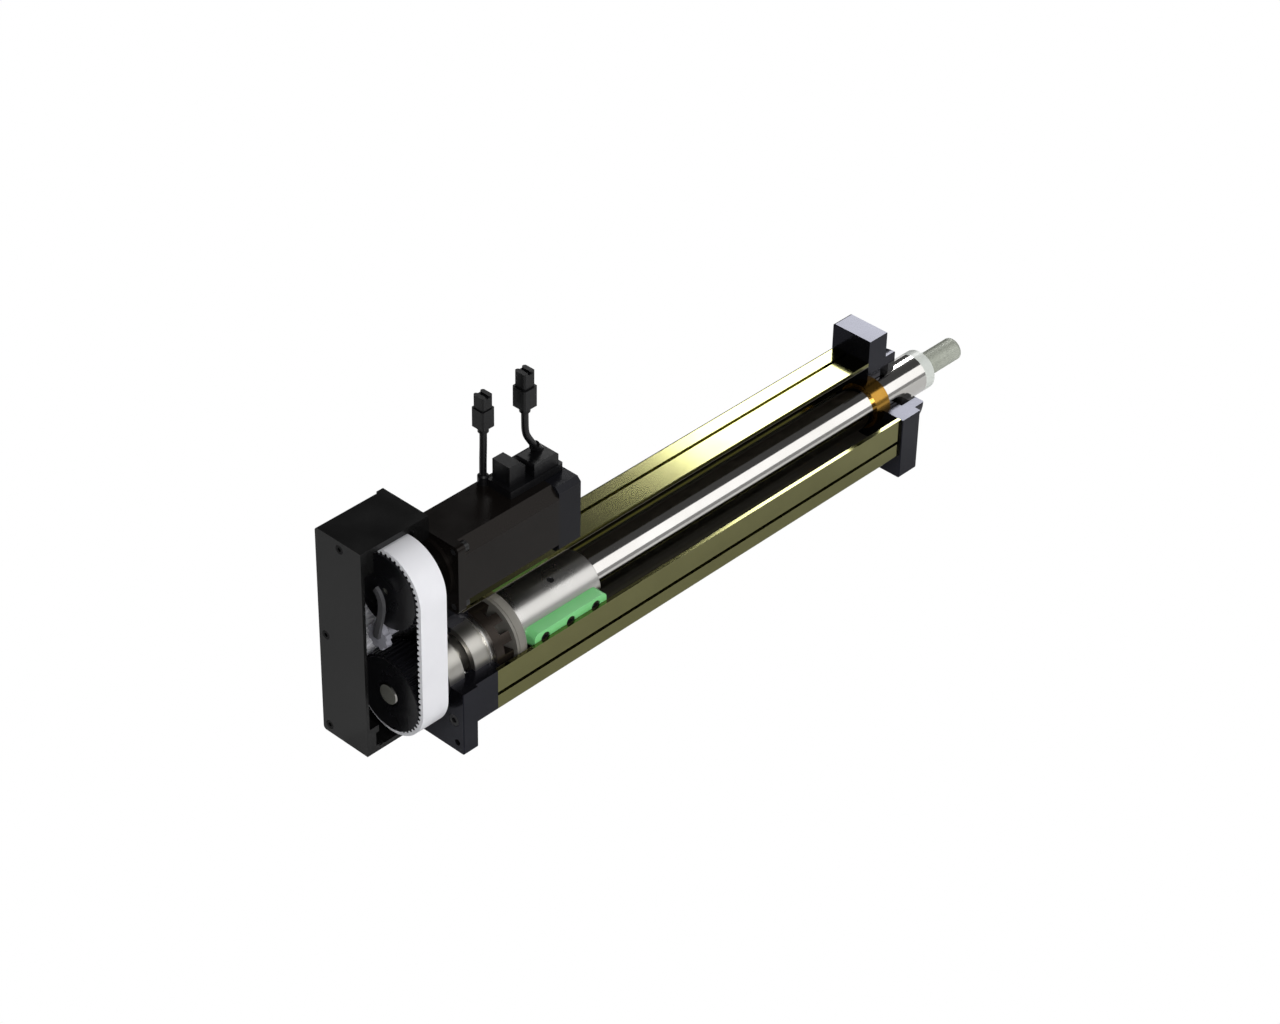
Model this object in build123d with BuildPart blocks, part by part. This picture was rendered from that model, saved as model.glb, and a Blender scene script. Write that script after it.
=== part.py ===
"""Cut-away electric cylinder: ball screw, piston rod, parallel belt drive and servo motor."""
from build123d import *
import math
import os

os.makedirs("parts", exist_ok=True)

# The frame: origin at the centre of the front flange's mounting face, +X along the rod, +Z up.
# The whole object is in millimetres.

# Barrel
barrel_side = 75.0
barrel_length = 462.0
barrel_bore_radius = 33.5
barrel_corner_radius = 2.5
guide_groove_reach = 34.3
guide_groove_width = 16.0
slot_offset = 22.0
slot_mouth_width = 3.2
slot_mouth_depth = 1.8
slot_pocket_width = 5.6
slot_pocket_depth = 3.0
corner_bore_offset = 29.5
corner_bore_radius = 2.55

# Flanges
flange_width = 80.0
flange_height = 116.0
flange_corner_radius = 2.0
front_flange_thickness = 22.0
rear_flange_thickness = 15.0
rear_hole_radius = 2.75
front_hole_radius = 3.0
front_hole_depth = 16.0
flange_hole_pitch_y = 66.0
flange_hole_pitch_z = 98.0
flange_edge_chamfer = 0.6
nose_radius = 34.0
nose_length = 12.0
nose_chamfer = 1.0
rod_bush_length = 16.0
rod_bush_wall = 2.6
rod_bush_reach_back = 9.0
seal_pocket_radius = 25.0
seal_length = 8.0
seal_pocket_depth = 18.0
seal_lip_radius = 21.3
seal_lip_groove = 2.4
seal_lip_depth = 2.0
lip_clearance = 0.7

# Bearing block between the rear flange and the barrel
block_length = 23.0
spigot_length = 6.0
spigot_gap = 0.2

# Screw, its journals and its two bearings
screw_radius = 12.5
screw_end_x = -62.0
journal_radius = 9.5
journal_chamfer = 1.2
shaft_end_inset = 21.8
bearing_outer_radius = 26.0
bearing_width = 15.0
bearing_land_outer = 20.9
bearing_land_inner = 15.1
ball_pitch_radius = 18.0
ball_radius = 4.6
ball_count = 9
race_gap = 0.2
cage_wall = 2.4
cage_width = 10.0
bearing_b_setback = 3.0
bearing_lip_radius = 22.5
wall_bore_radius = 24.0
lock_nut_radius = 16.0
lock_nut_length = 6.0
lock_nut_notch = 2.2
support_bush_length = 12.0
support_bush_wall = 4.5

# Castellated bearing retainer and its washer
retainer_radius = 31.0
retainer_bore_radius = 17.5
retainer_length = 17.0
retainer_slot_count = 12
retainer_slot_width = 8.0
retainer_slot_turn = 16.0
retainer_slot_depth = 9.0
washer_radius = 28.0
washer_bore_radius = 16.0
washer_length = 3.0

# Piston, nut and rod
piston_rear_gap = 2.0
guide_disc_radius = 33.0
guide_disc_length = 10.0
guide_disc_bore_radius = 14.0
wear_groove_depth = 1.4
wear_groove_width = 5.0
piston_radius = 24.0
piston_length = 89.0
piston_edge_chamfer = 0.8
nut_radius = 20.0
nut_bore_gap = 0.1
nut_setback = 4.0
nut_front_gap = 3.0
rod_radius = 17.5
rod_bore_radius = 13.5
rod_socket_depth = 18.0
rod_front_x = 35.0
rod_cap_length = 12.0
rod_cap_chamfer = 1.6
rod_plug_length = 20.0
stud_radius = 10.0
stud_seat_radius = 8.5
stud_length = 42.0
stud_chamfer = 1.5
set_screw_radius = 3.0
set_screw_angle = 18.0
set_screw_offset = 50.0
set_screw_depth = 3.2

# Guide pads on the piston's sides
pad_length = 77.0
pad_half_height = 7.6
pad_corner_radius = 5.0
pad_seat_reach = 22.0
pad_reach = 34.0
pad_setback = 7.0
pad_screw_pitch = 27.0
pad_counterbore_radius = 4.6
pad_counterbore_depth = 4.4
pad_screw_radius = 2.5
pad_screw_head_radius = 4.2
pad_screw_head_height = 3.6
pad_hex_radius = 2.2
pad_screw_reach_in = 1.6

# Belt drive
belt_pitch = 5.0
pulley_teeth = 42
belt_teeth = 80
belt_width = 25.5
belt_inset = 24.0
belt_back = 1.8
belt_body_inner = 0.7
belt_tooth_depth = 1.9
belt_tooth_root = 3.1
belt_tooth_tip = 2.2
belt_mesh_gap = 0.25
pulley_rim_gap = 0.3
pulley_flange_radius = 31.0
pulley_flange_thickness = 1.5
pulley_plate_gap = 0.5
end_washer_bore_radius = 3.0
key_width = 6.0
key_height = 3.0
key_length = 20.0

# Belt housing and its cover
housing_width = 96.0
housing_length = 60.0
housing_below_screw = 47.0
housing_above_motor = 44.5
housing_wall = 5.0
housing_bottom_wall = 4.0
housing_front_wall = 8.0
housing_corner_radius = 3.0
motor_seat_length = 6.5
motor_seat_above_screw = 60.0
cover_depth = 12.0
cover_plate = 3.0
cover_end_land = 24.0
cover_seal_groove = 3.0
cover_screw_radius = 2.5
cover_screw_head_radius = 3.4
cover_screw_head_height = 2.6
cover_screw_reach = 12.0
cover_boss_radius = 5.0
cover_hex_radius = 1.9
cover_hex_depth = 1.8
cover_screw_inset = 7.2
cover_top_land = 21.5
side_screw_heights = [-39.7, 45.1]
top_screw_y = 22.3

# Belt tensioner stud, knob and lever
tensioner_y = 3.5
tensioner_z = 54.5
tensioner_stud_radius = 4.0
tensioner_setback = 7.3
tensioner_knob_radius = 10.5
tensioner_knob_length = 5.0
tensioner_scallop_radius = 2.6
tensioner_scallops = 8
tensioner_lever_width = 5.0
tensioner_lever_thickness = 3.0
tensioner_lever_course = [(-1.5, 1.5), (-5.4, 19.5), (-7.4, 30.5), (-6.3, 40.0), (-1.3, 46.1)]

# Motor
motor_side = 60.0
motor_flange_length = 7.5
motor_flange_corner = 4.0
motor_body_length = 96.0
motor_body_chamfer = 9.0
motor_body_inset = 0.4
encoder_length = 23.5
encoder_chamfer = 4.0
encoder_inset = 0.8
motor_pilot_radius = 25.0
motor_pilot_length = 3.0
motor_shaft_radius = 7.0
motor_screw_pitch = 49.5
motor_screw_radius = 2.5
motor_screw_head_radius = 4.1
motor_screw_head_height = 4.8

# Outlets and leads on top of the motor
plinth_length = 54.0
plinth_setback = 3.5
plinth_near_y = -13.4
plinth_far_y = 11.0
plinth_height = 6.5
power_outlet_length = 16.0
power_outlet_width = 18.0
power_outlet_height = 17.0
power_outlet_chamfer = 5.0
power_outlet_setback = 4.0
encoder_outlet_length = 25.0
encoder_outlet_height = 10.5
encoder_outlet_far_y = 7.5
encoder_outlet_setback = 25.0
encoder_outlet_width = 20.0
gland_radius = 4.4
gland_height = 8.0
power_lead_setback = 0.5
power_lead_y = 16.2
encoder_lead_setback = 41.5
encoder_lead_y = 1.3
lead_radius = 2.8
collar_radius = 4.2
collar_height = 3.5
neck_radius = 3.2
neck_height = 1.5
power_plug_side = 12.6
power_plug_height = 16.0
power_plug_nose = 10.6
power_plug_nose_height = 11.4
encoder_plug_side = 13.6
encoder_plug_height = 17.0
encoder_plug_nose = 11.0
encoder_plug_nose_height = 13.6
plug_notch_width = 3.0
plug_notch_depth = 1.6
plug_chamfer = 1.2

# Fasteners
bolt_head_radius = 4.9
bolt_head_height = 5.8
bolt_radius = 2.5
bolt_length = 16.0
bolt_hex_radius = 2.6
bolt_hex_depth = 2.8

# Clearances
seat_gap = 0.02
running_gap = 0.05
free_gap = 0.3
cut_reach = 200.0

# Places along the rod axis, worked out from the lengths above
barrel_front_x = -front_flange_thickness
barrel_rear_x = barrel_front_x - barrel_length
block_rear_x = barrel_rear_x - block_length
rear_flange_x = block_rear_x - rear_flange_thickness
housing_rear_x = rear_flange_x - housing_length
cover_front_x = housing_rear_x + cover_depth
housing_wall_x = rear_flange_x - housing_front_wall
motor_face_x = rear_flange_x + motor_seat_length
motor_body_x = motor_face_x + motor_flange_length
encoder_x = motor_body_x + motor_body_length
shaft_end_x = housing_rear_x + shaft_end_inset
bearing_a_x = rear_flange_x
bearing_b_x = barrel_rear_x + bearing_b_setback - bearing_width
bearing_b_front_x = bearing_b_x + bearing_width
spigot_front_x = barrel_rear_x + spigot_length
retainer_front_x = spigot_front_x + retainer_length
disc_x = retainer_front_x + piston_rear_gap
piston_x = disc_x + guide_disc_length
piston_front_x = piston_x + piston_length
rod_rear_x = piston_front_x - rod_socket_depth
nut_x = piston_x + nut_setback
nut_front_x = rod_rear_x - nut_front_gap
nut_length = nut_front_x - nut_x
rod_cap_x = rod_front_x
pad_x = piston_x + pad_setback
pad_middle_x = pad_x + pad_length / 2
bush_x = barrel_front_x - rod_bush_reach_back
bush_front_x = bush_x + rod_bush_length
seal_x = nose_length - seal_length
seal_pocket_x = nose_length - seal_pocket_depth

# The belt's pitch line sets the distance between the screw and the motor shaft
pitch_radius = pulley_teeth * belt_pitch / (2 * math.pi)
centre_distance = (belt_teeth - pulley_teeth) * belt_pitch / 2
belt_outer_radius = pitch_radius + belt_back
belt_inner_radius = pitch_radius - belt_body_inner
belt_tip_radius = belt_inner_radius - belt_tooth_depth
belt_x = housing_rear_x + belt_inset
belt_front_x = belt_x + belt_width
pulley_x = belt_x - free_gap
pulley_front_x = belt_front_x + free_gap
housing_top_z = centre_distance + housing_above_motor
housing_height = housing_top_z + housing_below_screw
housing_middle_z = housing_top_z - housing_height / 2
motor_top_z = centre_distance + motor_side / 2 - motor_body_inset
motor_shaft_x = pulley_x

# Places of the screws across the rod axis, as (y, z)
screw_reach = motor_screw_pitch / 2
far_motor_screws = [(screw_reach, centre_distance + way * screw_reach) for way in (-1, 1)]
near_motor_screws = [(-screw_reach, centre_distance + way * screw_reach) for way in (-1, 1)]
side_cover_screws = [(housing_width / 2 - cover_screw_inset, height) for height in side_screw_heights]
cover_screw_places = side_cover_screws + [(top_screw_y, housing_top_z - cover_screw_inset)]


def add_ring(x_start, length, outer_radius, inner_radius=0.0, mode=Mode.ADD):
    """Add or cut a ring about the rod axis."""
    with BuildSketch(Plane.YZ.offset(x_start)) as face:
        Circle(outer_radius)
        if inner_radius > 0:
            Circle(inner_radius, mode=Mode.SUBTRACT)
    extrude(face.sketch, amount=length, mode=mode)


def cut_bore(x_start, length, radius, height=0.0):
    """Cut a bore about a line along X at a height above the rod axis."""
    with BuildSketch(Plane.YZ.offset(x_start)) as face:
        with Locations((0, height)):
            Circle(radius)
    extrude(face.sketch, amount=length, mode=Mode.SUBTRACT)


def cut_quarter(x_start, length):
    """Take away the near upper quarter, which the cut-away model leaves open."""
    with BuildSketch(Plane.YZ.offset(x_start)) as quarter:
        Rectangle(cut_reach, cut_reach, align=(Align.MAX, Align.MIN))
    extrude(quarter.sketch, amount=length, mode=Mode.SUBTRACT)


def cut_near_half(x_start, length):
    """Take away the near half of the belt housing."""
    with BuildSketch(Plane.YZ.offset(x_start)) as half:
        Rectangle(cut_reach, 4 * cut_reach, align=(Align.MAX, Align.CENTER))
    extrude(half.sketch, amount=length, mode=Mode.SUBTRACT)


def cut_holes(x_start, length, radius, places):
    """Cut round holes along X at a list of (y, z) places."""
    with BuildSketch(Plane.YZ.offset(x_start)) as face:
        with Locations(*places):
            Circle(radius)
    extrude(face.sketch, amount=length, mode=Mode.SUBTRACT)


def add_screws(
    head_x, head_length, head_radius, shank_length, shank_radius, hex_radius, hex_depth, places, way
):
    """Add hex socket screws along X, their heads starting at head_x and shanks running the given way."""
    with BuildSketch(Plane.YZ.offset(head_x)) as heads:
        with Locations(*places):
            Circle(head_radius)
    extrude(heads.sketch, amount=way * head_length)
    with BuildSketch(Plane.YZ.offset(head_x + way * head_length)) as shanks:
        with Locations(*places):
            Circle(shank_radius)
    extrude(shanks.sketch, amount=way * shank_length)
    with BuildSketch(Plane.YZ.offset(head_x)) as sockets:
        with Locations(*places):
            RegularPolygon(hex_radius, 6)
    extrude(sockets.sketch, amount=way * hex_depth, mode=Mode.SUBTRACT)


def finish(piece, label):
    """Name a finished piece and write its file."""
    piece.part.label = label
    export_step(piece.part, f"parts/{label}.step")


tie_places = [(y * corner_bore_offset, z * corner_bore_offset) for y, z in ((1, 1), (1, -1), (-1, -1))]
flange_hole_places = [
    (y * flange_hole_pitch_y / 2, z * flange_hole_pitch_z / 2) for y, z in ((1, 1), (1, -1), (-1, -1))
]

# Barrel: an extruded square tube with sensor slots, guide grooves and corner bores
with BuildPart() as barrel:
    with BuildSketch(Plane.YZ.offset(barrel_rear_x)):
        RectangleRounded(barrel_side, barrel_side, barrel_corner_radius)
        Circle(barrel_bore_radius, mode=Mode.SUBTRACT)
        Rectangle(2 * guide_groove_reach, guide_groove_width, mode=Mode.SUBTRACT)
        with GridLocations(2 * corner_bore_offset, 2 * corner_bore_offset, 2, 2):
            Circle(corner_bore_radius, mode=Mode.SUBTRACT)
        pocket_reach = barrel_side / 2 - slot_mouth_depth - slot_pocket_depth / 2
        with GridLocations(barrel_side - slot_mouth_depth, 2 * slot_offset, 2, 2):
            Rectangle(slot_mouth_depth, slot_mouth_width, mode=Mode.SUBTRACT)
        with GridLocations(2 * pocket_reach, 2 * slot_offset, 2, 2):
            Rectangle(slot_pocket_depth, slot_pocket_width, mode=Mode.SUBTRACT)
        with GridLocations(2 * slot_offset, barrel_side - slot_mouth_depth, 2, 2):
            Rectangle(slot_mouth_width, slot_mouth_depth, mode=Mode.SUBTRACT)
        with GridLocations(2 * slot_offset, 2 * pocket_reach, 2, 2):
            Rectangle(slot_pocket_width, slot_pocket_depth, mode=Mode.SUBTRACT)
    extrude(amount=barrel_length)
    cut_quarter(barrel_rear_x, barrel_length)
finish(barrel, "barrel")

# Front flange with its round nose, bush seat and seal pocket
with BuildPart() as front_flange:
    with BuildSketch(Plane.YZ.offset(barrel_front_x)):
        RectangleRounded(flange_width, flange_height, flange_corner_radius)
    extrude(amount=front_flange_thickness)
    chamfer(front_flange.faces().sort_by(Axis.X)[0].edges(), flange_edge_chamfer)
    chamfer(front_flange.faces().sort_by(Axis.X)[-1].edges(), flange_edge_chamfer)
    add_ring(0, nose_length, nose_radius)
    chamfer(front_flange.faces().sort_by(Axis.X)[-1].edges(), nose_chamfer)
    cut_bore(barrel_front_x, front_flange_thickness + nose_length, rod_radius + lip_clearance)
    cut_bore(barrel_front_x, bush_front_x - barrel_front_x, rod_radius + rod_bush_wall + seat_gap)
    cut_bore(seal_pocket_x, seal_pocket_depth, seal_pocket_radius)
    cut_holes(-front_hole_depth, front_hole_depth, front_hole_radius, flange_hole_places)
    cut_holes(barrel_front_x, front_flange_thickness, bolt_radius + seat_gap, tie_places)
    cut_holes(-bolt_head_height, bolt_head_height, bolt_head_radius + free_gap, tie_places)
    cut_quarter(barrel_front_x, front_flange_thickness + nose_length)
finish(front_flange, "front_flange")

# Bronze bush that carries the rod, left whole
with BuildPart() as rod_bush:
    add_ring(bush_x, rod_bush_length, rod_radius + rod_bush_wall, rod_radius + running_gap)
finish(rod_bush, "rod_bush")

# Rod wiper seal in the nose, cut with it
with BuildPart() as wiper_seal:
    add_ring(seal_x, seal_length, seal_pocket_radius - seat_gap, rod_radius + running_gap)
    add_ring(
        nose_length - seal_lip_depth,
        seal_lip_depth,
        seal_lip_radius + seal_lip_groove / 2,
        seal_lip_radius - seal_lip_groove / 2,
        Mode.SUBTRACT,
    )
    cut_quarter(seal_x, seal_length)
finish(wiper_seal, "wiper_seal")

# Screws that hold the front flange on the barrel
with BuildPart() as front_flange_bolts:
    add_screws(
        0,
        bolt_head_height,
        bolt_head_radius,
        front_flange_thickness - bolt_head_height + bolt_length - free_gap,
        bolt_radius,
        bolt_hex_radius,
        bolt_hex_depth,
        tie_places,
        -1,
    )
finish(front_flange_bolts, "front_flange_bolts")

# Bearing block with its spigot, seats and inner lip
with BuildPart() as bearing_block:
    with BuildSketch(Plane.YZ.offset(block_rear_x)):
        RectangleRounded(barrel_side, barrel_side, barrel_corner_radius)
    extrude(amount=block_length)
    add_ring(barrel_rear_x, spigot_length, barrel_bore_radius - spigot_gap)
    cut_bore(block_rear_x, block_length, bearing_lip_radius)
    cut_bore(bearing_b_x, spigot_front_x - bearing_b_x, bearing_outer_radius + seat_gap)
    cut_bore(bearing_b_front_x, washer_length, washer_radius + seat_gap)
    cut_holes(block_rear_x, block_length, bolt_radius + seat_gap, tie_places)
    cut_quarter(block_rear_x, block_length + spigot_length)
finish(bearing_block, "bearing_block")

# Rear flange with the seat of the rear bearing
with BuildPart() as rear_flange:
    with BuildSketch(Plane.YZ.offset(rear_flange_x)):
        RectangleRounded(flange_width, flange_height, flange_corner_radius)
    extrude(amount=rear_flange_thickness)
    chamfer(rear_flange.faces().sort_by(Axis.X)[0].edges(), flange_edge_chamfer)
    chamfer(rear_flange.faces().sort_by(Axis.X)[-1].edges(), flange_edge_chamfer)
    cut_bore(rear_flange_x, rear_flange_thickness, bearing_outer_radius + seat_gap)
    cut_holes(rear_flange_x, rear_flange_thickness, rear_hole_radius, flange_hole_places)
    cut_holes(rear_flange_x, rear_flange_thickness, bolt_radius + seat_gap, tie_places)
    cut_holes(rear_flange_x, bolt_head_height, bolt_head_radius + free_gap, tie_places)
    cut_quarter(rear_flange_x, rear_flange_thickness)
finish(rear_flange, "rear_flange")

# Screws through the rear flange and the block into the barrel's corners
with BuildPart() as rear_flange_bolts:
    add_screws(
        rear_flange_x,
        bolt_head_height,
        bolt_head_radius,
        rear_flange_thickness + block_length - bolt_head_height + bolt_length,
        bolt_radius,
        bolt_hex_radius,
        bolt_hex_depth,
        tie_places,
        1,
    )
finish(rear_flange_bolts, "rear_flange_bolts")


def add_race(x_start, outer_radius, inner_radius, groove_radius):
    """Add one bearing ring with the ball groove turned in it."""
    middle_x = x_start + bearing_width / 2
    add_ring(x_start, bearing_width, outer_radius, inner_radius)
    with BuildSketch(Plane.XZ) as groove:
        with Locations((middle_x, ball_pitch_radius)):
            Circle(groove_radius)
    revolve(groove.sketch, axis=Axis.X, mode=Mode.SUBTRACT)


def add_balls(x_start):
    """Add the ring of balls of one bearing."""
    for index in range(ball_count):
        angle = math.radians(90 + 360 * index / ball_count)
        place = (
            x_start + bearing_width / 2,
            ball_pitch_radius * math.cos(angle),
            ball_pitch_radius * math.sin(angle),
        )
        with Locations(place):
            Sphere(ball_radius)


def add_cage(x_start):
    """Add the cage with a pocket round each ball."""
    middle_x = x_start + bearing_width / 2
    cage_outer = ball_pitch_radius + cage_wall / 2
    add_ring(middle_x - cage_width / 2, cage_width, cage_outer, cage_outer - cage_wall)
    for index in range(ball_count):
        angle = math.radians(90 + 360 * index / ball_count)
        place = (middle_x, ball_pitch_radius * math.cos(angle), ball_pitch_radius * math.sin(angle))
        with Locations(place):
            Sphere(ball_radius + seat_gap, mode=Mode.SUBTRACT)


# The two ball bearings of the screw
with BuildPart() as rear_bearing_outer_ring:
    add_race(bearing_a_x, bearing_outer_radius, bearing_land_outer, ball_radius + seat_gap)
finish(rear_bearing_outer_ring, "rear_bearing_outer_ring")

with BuildPart() as rear_bearing_inner_ring:
    add_race(bearing_a_x, bearing_land_inner, journal_radius + seat_gap, ball_radius + race_gap)
finish(rear_bearing_inner_ring, "rear_bearing_inner_ring")

with BuildPart() as rear_bearing_balls:
    add_balls(bearing_a_x)
finish(rear_bearing_balls, "rear_bearing_balls")

with BuildPart() as rear_bearing_cage:
    add_cage(bearing_a_x)
finish(rear_bearing_cage, "rear_bearing_cage")

with BuildPart() as front_bearing_outer_ring:
    add_race(bearing_b_x, bearing_outer_radius, bearing_land_outer, ball_radius + seat_gap)
finish(front_bearing_outer_ring, "front_bearing_outer_ring")

with BuildPart() as front_bearing_inner_ring:
    add_race(bearing_b_x, bearing_land_inner, journal_radius + seat_gap, ball_radius + race_gap)
finish(front_bearing_inner_ring, "front_bearing_inner_ring")

with BuildPart() as front_bearing_balls:
    add_balls(bearing_b_x)
finish(front_bearing_balls, "front_bearing_balls")

with BuildPart() as front_bearing_cage:
    add_cage(bearing_b_x)
finish(front_bearing_cage, "front_bearing_cage")

# Spacer sleeve between the two inner rings
with BuildPart() as inner_spacer:
    sleeve_x = bearing_a_x + bearing_width
    add_ring(sleeve_x, bearing_b_x - sleeve_x, bearing_land_inner, journal_radius + seat_gap)
finish(inner_spacer, "inner_spacer")

# Lock nut behind the rear bearing, with wrench notches
with BuildPart() as shaft_lock_nut:
    add_ring(bearing_a_x - lock_nut_length, lock_nut_length, lock_nut_radius, journal_radius + seat_gap)
    with BuildSketch(Plane.YZ.offset(bearing_a_x - lock_nut_length)) as notches:
        with PolarLocations(lock_nut_radius, 4, start_angle=45):
            Rectangle(2 * lock_nut_notch, 2 * lock_nut_notch)
    extrude(notches.sketch, amount=lock_nut_length, mode=Mode.SUBTRACT)
finish(shaft_lock_nut, "shaft_lock_nut")

# Washer and castellated retainer in front of the front bearing
with BuildPart() as retainer_washer:
    add_ring(bearing_b_front_x, washer_length, washer_radius, washer_bore_radius)
finish(retainer_washer, "retainer_washer")

with BuildPart() as bearing_retainer:
    add_ring(spigot_front_x, retainer_length, retainer_radius, retainer_bore_radius)
    with BuildSketch(Plane.YZ.offset(retainer_front_x)) as slots:
        with PolarLocations(retainer_radius, retainer_slot_count, start_angle=retainer_slot_turn):
            Rectangle(2 * (retainer_radius - retainer_bore_radius + 1), retainer_slot_width)
    extrude(slots.sketch, amount=-retainer_slot_depth, mode=Mode.SUBTRACT)
finish(bearing_retainer, "bearing_retainer")

# Screw: threaded length, journal, and a reduced end for the support bush
with BuildPart() as ball_screw:
    bush_seat_x = screw_end_x - support_bush_length
    add_ring(bearing_b_front_x, bush_seat_x - bearing_b_front_x, screw_radius)
    add_ring(bush_seat_x, support_bush_length, rod_bore_radius - support_bush_wall)
    add_ring(shaft_end_x, bearing_b_front_x - shaft_end_x, journal_radius)
    chamfer(ball_screw.faces().sort_by(Axis.X)[0].edges(), journal_chamfer)
    with BuildSketch(Plane.XY.offset(journal_radius)) as keyway:
        with Locations(((pulley_x + pulley_front_x) / 2, 0)):
            RectangleRounded(key_length + 2 * seat_gap, key_width + 2 * seat_gap, key_width / 2)
    extrude(keyway.sketch, amount=-key_height, mode=Mode.SUBTRACT)
finish(ball_screw, "ball_screw")

# Bush at the screw's free end, running inside the rod
with BuildPart() as screw_support_bush:
    add_ring(
        screw_end_x - support_bush_length,
        support_bush_length,
        rod_bore_radius - running_gap,
        rod_bore_radius - support_bush_wall + seat_gap,
    )
finish(screw_support_bush, "screw_support_bush")

# Guide disc on the piston's rear end, with its wear ring
with BuildPart() as guide_disc:
    add_ring(disc_x, guide_disc_length, guide_disc_radius, guide_disc_bore_radius)
    wear_ring_x = disc_x + (guide_disc_length - wear_groove_width) / 2
    groove_floor = guide_disc_radius - wear_groove_depth
    add_ring(wear_ring_x, wear_groove_width, guide_disc_radius + 1, groove_floor, Mode.SUBTRACT)
finish(guide_disc, "guide_disc")

with BuildPart() as wear_ring:
    wear_ring_width = wear_groove_width - 2 * seat_gap
    add_ring(wear_ring_x + seat_gap, wear_ring_width, barrel_bore_radius - running_gap, groove_floor)
finish(wear_ring, "wear_ring")


def pad_outline(plane, corner_radius, growth):
    """Draw the outline of a guide pad on a plane parallel to XZ."""
    with BuildSketch(plane) as outline:
        with Locations((pad_middle_x, 0)):
            RectangleRounded(pad_length + 2 * growth, 2 * (pad_half_height + growth), corner_radius)
    return outline.sketch


pad_screw_places = [(pad_middle_x + step * pad_screw_pitch, 0) for step in (-1, 0, 1)]
set_screw_plane = Plane(
    origin=(piston_x + set_screw_offset, 0, 0),
    x_dir=(1, 0, 0),
    z_dir=(0, -math.sin(math.radians(set_screw_angle)), math.cos(math.radians(set_screw_angle))),
)

# Piston with its nut bore, rod socket, pad seats and set screw hole
with BuildPart() as piston:
    add_ring(piston_x, piston_length, piston_radius)
    chamfer(piston.faces().sort_by(Axis.X)[-1].edges(), piston_edge_chamfer)
    cut_bore(piston_x, nut_front_x - piston_x, nut_radius + seat_gap)
    cut_bore(piston_x, piston_length, rod_bore_radius)
    cut_bore(rod_rear_x, rod_socket_depth, rod_radius + seat_gap)
    for side in (-1, 1):
        seat_plane = Plane.XZ.offset(side * pad_seat_reach)
        extrude(
            pad_outline(seat_plane, pad_corner_radius, seat_gap),
            amount=side * (piston_radius - pad_seat_reach + 1),
            mode=Mode.SUBTRACT,
        )
        with BuildSketch(seat_plane) as tapped:
            with Locations(*pad_screw_places):
                Circle(pad_screw_radius + seat_gap)
        extrude(tapped.sketch, amount=-side * pad_screw_reach_in, mode=Mode.SUBTRACT)
    with BuildSketch(set_screw_plane.offset(nut_radius)) as tapped_top:
        Circle(set_screw_radius + seat_gap)
    extrude(tapped_top.sketch, amount=piston_radius - nut_radius + 1, mode=Mode.SUBTRACT)
finish(piston, "piston")

# Ball nut inside the piston
with BuildPart() as ball_nut:
    add_ring(nut_x, nut_length, nut_radius, screw_radius + nut_bore_gap)
finish(ball_nut, "ball_nut")

# Set screw in the piston's top
with BuildPart() as set_screw:
    with BuildSketch(set_screw_plane.offset(nut_radius + seat_gap)):
        Circle(set_screw_radius)
    extrude(amount=set_screw_depth)
    with BuildSketch(set_screw_plane.offset(nut_radius + seat_gap + set_screw_depth)) as socket:
        RegularPolygon(set_screw_radius / 2, 6)
    extrude(socket.sketch, amount=-set_screw_depth / 2, mode=Mode.SUBTRACT)
finish(set_screw, "set_screw")


def add_pad(side):
    """Add one guide pad with its counterbored screw holes."""
    reach = pad_reach - pad_seat_reach
    extrude(pad_outline(Plane.XZ.offset(side * pad_seat_reach), pad_corner_radius, 0), amount=side * reach)
    with BuildSketch(Plane.XZ.offset(side * pad_reach)) as wells:
        with Locations(*pad_screw_places):
            Circle(pad_counterbore_radius)
    extrude(wells.sketch, amount=-side * pad_counterbore_depth, mode=Mode.SUBTRACT)
    with BuildSketch(Plane.XZ.offset(side * pad_reach)) as holes:
        with Locations(*pad_screw_places):
            Circle(pad_screw_radius + seat_gap)
    extrude(holes.sketch, amount=-side * reach, mode=Mode.SUBTRACT)


# Guide pads that stop the piston from turning
with BuildPart() as guide_pad_near:
    add_pad(1)
finish(guide_pad_near, "guide_pad_near")

with BuildPart() as guide_pad_far:
    add_pad(-1)
finish(guide_pad_far, "guide_pad_far")

with BuildPart() as pad_screws:
    floor_reach = pad_reach - pad_counterbore_depth
    shank_reach = floor_reach - pad_seat_reach + pad_screw_reach_in - free_gap
    for side in (-1, 1):
        with BuildSketch(Plane.XZ.offset(side * floor_reach)) as heads:
            with Locations(*pad_screw_places):
                Circle(pad_screw_head_radius)
        extrude(heads.sketch, amount=side * pad_screw_head_height)
        with BuildSketch(Plane.XZ.offset(side * floor_reach)) as shanks:
            with Locations(*pad_screw_places):
                Circle(pad_screw_radius)
        extrude(shanks.sketch, amount=-side * shank_reach)
        with BuildSketch(Plane.XZ.offset(side * (floor_reach + pad_screw_head_height))) as sockets:
            with Locations(*pad_screw_places):
                RegularPolygon(pad_hex_radius, 6)
        extrude(sockets.sketch, amount=-side * pad_screw_head_height / 2, mode=Mode.SUBTRACT)
finish(pad_screws, "pad_screws")

# Piston rod tube, its end cap and the threaded stud
with BuildPart() as rod_tube:
    add_ring(rod_rear_x, rod_front_x - rod_rear_x, rod_radius, rod_bore_radius)
finish(rod_tube, "rod_tube")

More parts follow.
